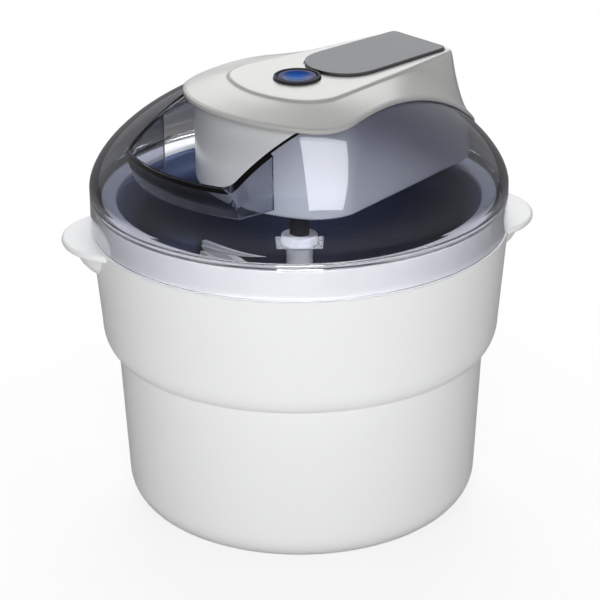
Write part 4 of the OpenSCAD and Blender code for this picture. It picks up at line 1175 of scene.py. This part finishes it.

# %% [markdown]
# ## The blue button
#
# The button is tinted clear plastic over a dark switch. Its colour holds painted light and shade:
# painted light at the centre, where light comes out of its dish, and painted shade, almost black,
# towards its rim, so its colour follows the distance from its centre.

# %% Blue button
# The first blue is painted light at the button's centre and the second painted shade at its rim.
PAINTED_LIGHT_RADIUS = 2.0
PAINTED_SHADE_RADIUS = 10.0
BUTTON_PAINTED_LIGHT = (0.004, 0.09, 0.42)
BUTTON_PAINTED_SHADE = (0.001, 0.008, 0.07)
BUTTON_GLOSS = (0.06, 0.12)
BUTTON_DRIFT = (0.8, 1.1)
BUTTON_COAT = 0.6
BUTTON_RELIEF = 0.002
CLEAR_IOR = 1.49


def make_button_blue():
    made, tree, shader = new_material("button_blue")
    x, y, z = parts_of(tree, object_place(tree))
    away = distance(tree, x, maths(tree, "SUBTRACT", y, BUTTON_Y * MM))
    reach = (PAINTED_LIGHT_RADIUS * MM, PAINTED_SHADE_RADIUS * MM)
    share = ramp(tree, away, reach, ZERO_TO_ONE, soft=True)
    skin = place_group(tree, moulded_skin, Grain_Scale=500.0, Grain_Depth=0.3, Drift_Scale=120.0)
    drift = skin.outputs["Drift"]
    # Painted light at the centre fades to painted shade at the rim, varied a little by the drift.
    depth = maths(tree, "MULTIPLY", share, ramp(tree, drift, ZERO_TO_ONE, BUTTON_DRIFT))
    feed(tree, blend_colours(tree, depth, BUTTON_PAINTED_LIGHT, BUTTON_PAINTED_SHADE), shader.inputs["Base Color"])
    feed(tree, ramp(tree, drift, ZERO_TO_ONE, BUTTON_GLOSS), shader.inputs["Roughness"])
    relief(tree, shader, skin.outputs["Height"], BUTTON_RELIEF)
    set_values(shader, {"IOR": CLEAR_IOR, "Coat_Weight": BUTTON_COAT})
    return made


finishes["button_blue"] = make_button_blue()
print("blue at the centre:", BUTTON_PAINTED_LIGHT, "and at the rim:", BUTTON_PAINTED_SHADE)

# %% [markdown]
# ## The smoky clear plastic
#
# Clear plastic is made here as real glass with the refraction of acrylic. Smoky plastic is clear
# where one looks straight through it and dark where one looks along it, so Layer Weight chooses
# between a light and a dark tint. The skirt is clearer than the dome. Light has to get in
# under the lid as well, so for shadow rays the surface counts as a pale filter.

# %% Clear plastic
FACING_TINT = (0.68, 0.70, 0.77)
GRAZING_TINT = (0.10, 0.105, 0.14)
SKIRT_TINT = (0.80, 0.80, 0.80)
SKIRT_GRAZING = (0.66, 0.665, 0.70)
SKIRT_END = ((SKIRT_Z - 1.0) * MM, (SKIRT_Z + 4.0) * MM)
SLANT_RANGE = (0.02, 0.46)
CLEAR_GLOSS = (0.0, 0.03)
CLEAR_RELIEF = 0.004
PALE_FILTER = (0.90, 0.91, 0.95)


def make_lid_clear():
    made, tree, shader = new_material("lid_clear")
    height = parts_of(tree, object_place(tree))[2]
    is_dome = ramp(tree, height, SKIRT_END, ZERO_TO_ONE, soft=True)
    facing = tree.nodes.new("ShaderNodeLayerWeight").outputs["Facing"]
    slant = ramp(tree, facing, SLANT_RANGE, ZERO_TO_ONE, soft=True)
    dome_tint = blend_colours(tree, slant, FACING_TINT, GRAZING_TINT)
    skirt_tint = blend_colours(tree, slant, SKIRT_TINT, SKIRT_GRAZING)
    feed(tree, blend_colours(tree, is_dome, skirt_tint, dome_tint), shader.inputs["Base Color"])
    skin = place_group(tree, moulded_skin, Grain_Scale=300.0, Grain_Depth=0.1, Drift_Scale=20.0)
    gloss = ramp(tree, skin.outputs["Drift"], ZERO_TO_ONE, CLEAR_GLOSS)
    feed(tree, gloss, shader.inputs["Roughness"])
    relief(tree, shader, skin.outputs["Height"], CLEAR_RELIEF)
    set_values(shader, {"Metallic": 0.0, "Transmission_Weight": 1.0, "IOR": CLEAR_IOR})
    pale_filter = tree.nodes.new("ShaderNodeBsdfTransparent")
    feed(tree, PALE_FILTER, pale_filter.inputs["Color"])
    shadow_ray = tree.nodes.new("ShaderNodeLightPath").outputs["Is Shadow Ray"]
    clear = shader.outputs["BSDF"]
    cover_with(tree, switch_shaders(tree, shadow_ray, clear, pale_filter.outputs["BSDF"]))
    return made


finishes["lid_clear"] = make_lid_clear()
print("tint seen straight on:", FACING_TINT, "and along the wall:", GRAZING_TINT)

# %% [markdown]
# ## Give every piece its finish
#
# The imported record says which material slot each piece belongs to, so one loop dresses them all.

# %% Assign the finishes
slot_of = {part["node"]: part["material_slot"] for part in frame["record"]["subparts"]}


def dress(piece, finish):
    piece.data.materials.clear()
    piece.data.materials.append(finishes[finish])


for name, piece in nodes.items():
    if name not in REPLACED:
        dress(piece, slot_of[name])
dress(lid, "lid_clear")
dress(cover, "cover_grey")
dress(tub, "tub_white")
print("finishes used:", len(set(slot_of.values())))

# %% [markdown]
# ## The floor
#
# A white object on a white table needs edges that are a little darker than the table. The camera
# therefore sees the table as a light table that runs out to white, with only a soft shadow close
# to the object. In reflections the table is dark, as if black cards lay on it, which draws a
# darker line round every glossy edge.

# %% Floor
FLOOR_R = 6.0
FLOOR_STEPS = 64
FLOOR_ROUGH = 0.9
FLOOR_TONES = ((0.80, 0.80, 0.80), (0.83, 0.83, 0.83))
GLOW = (0.82, 1.0)
GLOW_RANGE = (0.09, 0.30)
MIRRORED_FLOOR = 0.20


def emission(tree, strength):
    node = tree.nodes.new("ShaderNodeEmission")
    node.inputs["Strength"].default_value = strength
    return node.outputs["Emission"]


def make_floor():
    made = bmesh.new()
    bmesh.ops.create_circle(made, cap_ends=True, radius=FLOOR_R, segments=FLOOR_STEPS)
    floor = finish_mesh("studio_floor", made)
    finish, tree, shader = new_material("floor_paper")
    skin = place_group(tree, moulded_skin, Grain_Scale=200.0, Grain_Depth=0.5, Drift_Scale=2.0)
    tone = blend_colours(tree, skin.outputs["Drift"], *FLOOR_TONES)
    feed(tree, tone, shader.inputs["Base Color"])
    shader.inputs["Roughness"].default_value = FLOOR_ROUGH
    away = tree.nodes.new("ShaderNodeVectorMath")
    away.operation = "LENGTH"
    feed(tree, object_place(tree), away.inputs[0])
    share = ramp(tree, away.outputs["Value"], GLOW_RANGE, GLOW, soft=True)
    rays = tree.nodes.new("ShaderNodeLightPath")
    seen = maths(tree, "MULTIPLY", share, rays.outputs["Is Camera Ray"])
    lit = switch_shaders(tree, seen, shader.outputs["BSDF"], emission(tree, 1.0))
    dark = emission(tree, MIRRORED_FLOOR)
    cover_with(tree, switch_shaders(tree, rays.outputs["Is Glossy Ray"], lit, dark))
    floor.data.materials.append(finish)


make_floor()
print("floor radius in metres:", FLOOR_R)

# %% [markdown]
# ## The walls
#
# The room round the table is a plain world colour. Plastic shows the room twice, as its own light
# and as a reflection, and the two need different walls: weak light, so that the lamps make the
# shading, but reflections that are fairly bright low down and dark above.

# %% Walls
SEEN_WALLS = 1.0
LIT_WALLS = 0.12
MIRRORED_WALLS = 0.42
WALLS_DARKEN = (0.35, 0.75)


def make_walls():
    world = bpy.data.worlds.new("studio_world")
    bpy.context.scene.world = world
    world.use_nodes = True
    tree = world.node_tree
    back = tree.nodes["Background"]
    rays = tree.nodes.new("ShaderNodeLightPath")
    direction = tree.nodes.new("ShaderNodeTexCoord").outputs["Generated"]
    height = parts_of(tree, direction)[2]
    walls = ramp(tree, height, WALLS_DARKEN, (MIRRORED_WALLS - LIT_WALLS, 0.0))
    mirrored = maths(tree, "MULTIPLY", walls, rays.outputs["Is Glossy Ray"])
    seen = maths(tree, "MULTIPLY", rays.outputs["Is Camera Ray"], SEEN_WALLS - LIT_WALLS)
    level = maths(tree, "ADD", maths(tree, "ADD", mirrored, seen), LIT_WALLS)
    feed(tree, level, back.inputs["Strength"])
    feed(tree, (1.0, 1.0, 1.0), back.inputs["Color"])


make_walls()
print("walls seen, lit and mirrored:", SEEN_WALLS, LIT_WALLS, MIRRORED_WALLS)

# %% [markdown]
# ## The lamps
#
# The main lamp stands near the camera, where it falls straight on the middle of every round wall
# and slides past the edges. A second stands high behind the object and a third above it, so that
# level surfaces are bright and the flanks that face the camera are in shade. A studio also hangs
# up things only for their reflection: here a card behind the object, which shines in the lacquer,
# and a long strip overhead, which draws the bright band across the dome and the tub. Flags keep
# the light of those two off everything else. Places are in metres and powers in watts.

# %% Lamps
STRIP_TURN = -37.0
STRIP_PLACE = (0.32, 0.15, 2.0)
BELOW_STRIP = (0.32, 0.15, 0.0)


def make_panel(name, place, aim, size, power, mirrored=False):
    """A lamp that only lights, or with mirrored=True a card that only shows in reflections."""
    data = bpy.data.lights.new(name, "AREA")
    data.shape = "RECTANGLE"
    data.size = size[0]
    data.size_y = size[1]
    data.energy = power
    panel = bpy.data.objects.new(name, data)
    panel.location = place
    direction = Vector(aim) - Vector(place)
    panel.rotation_euler = direction.to_track_quat("-Z", "Y").to_euler()
    panel.visible_glossy = mirrored
    panel.visible_diffuse = not mirrored
    bpy.context.scene.collection.objects.link(panel)
    return panel


def light_only(panel, pieces):
    """Flags in front of a lamp: it reaches these pieces and no others."""
    lit = bpy.data.collections.new(panel.name + "_receivers")
    for piece in pieces:
        lit.objects.link(piece)
    panel.light_linking.receiver_collection = lit


key = make_panel(
    "key_panel", place=(1.31, -1.18, 0.95), aim=(0.0, 0.0, 0.12), size=(0.8, 0.8), power=26.5,
)
back = make_panel(
    "back_panel", place=(-0.95, 0.86, 1.15), aim=(0.0, 0.0, 0.2), size=(1.2, 0.7), power=22.0,
)
top = make_panel(
    "top_panel", place=(-0.1, 0.1, 2.2), aim=(0.0, 0.0, 0.2), size=(1.4, 1.4), power=8.0,
)
card = make_panel(
    "back_card", place=(-1.19, 1.07, 0.85), aim=(0.0, 0.0, 0.22), size=(1.0, 0.7), power=2.6,
    mirrored=True,
)
light_only(card, (cover, nodes["inlay_plate"]))
strip = make_panel(
    "strip_panel", place=STRIP_PLACE, aim=BELOW_STRIP, size=(1.45, 0.50), power=13.0,
    mirrored=True,
)
strip.rotation_euler = (0.0, 0.0, math.radians(STRIP_TURN))
light_only(strip, (lid, tub))
print("lamps:", ", ".join(lamp.name for lamp in (key, back, top, card, strip)))

# %% [markdown]
# ## How light is followed
#
# A ray that looks through the lid can cross four walls before it leaves again, two of the dome
# and two of the chute, and each wall bends it twice. With too few bounces the inside would go
# black. The plain view transform keeps white plastic white.

# %% Light paths
BOUNCES = 16
CLEAR_BOUNCES = 14
scene = bpy.context.scene
scene.view_settings.view_transform = "Standard"
scene.view_settings.look = "None"
scene.cycles.max_bounces = BOUNCES
scene.cycles.transmission_bounces = CLEAR_BOUNCES
scene.cycles.transparent_max_bounces = BOUNCES
print("bounces:", BOUNCES)
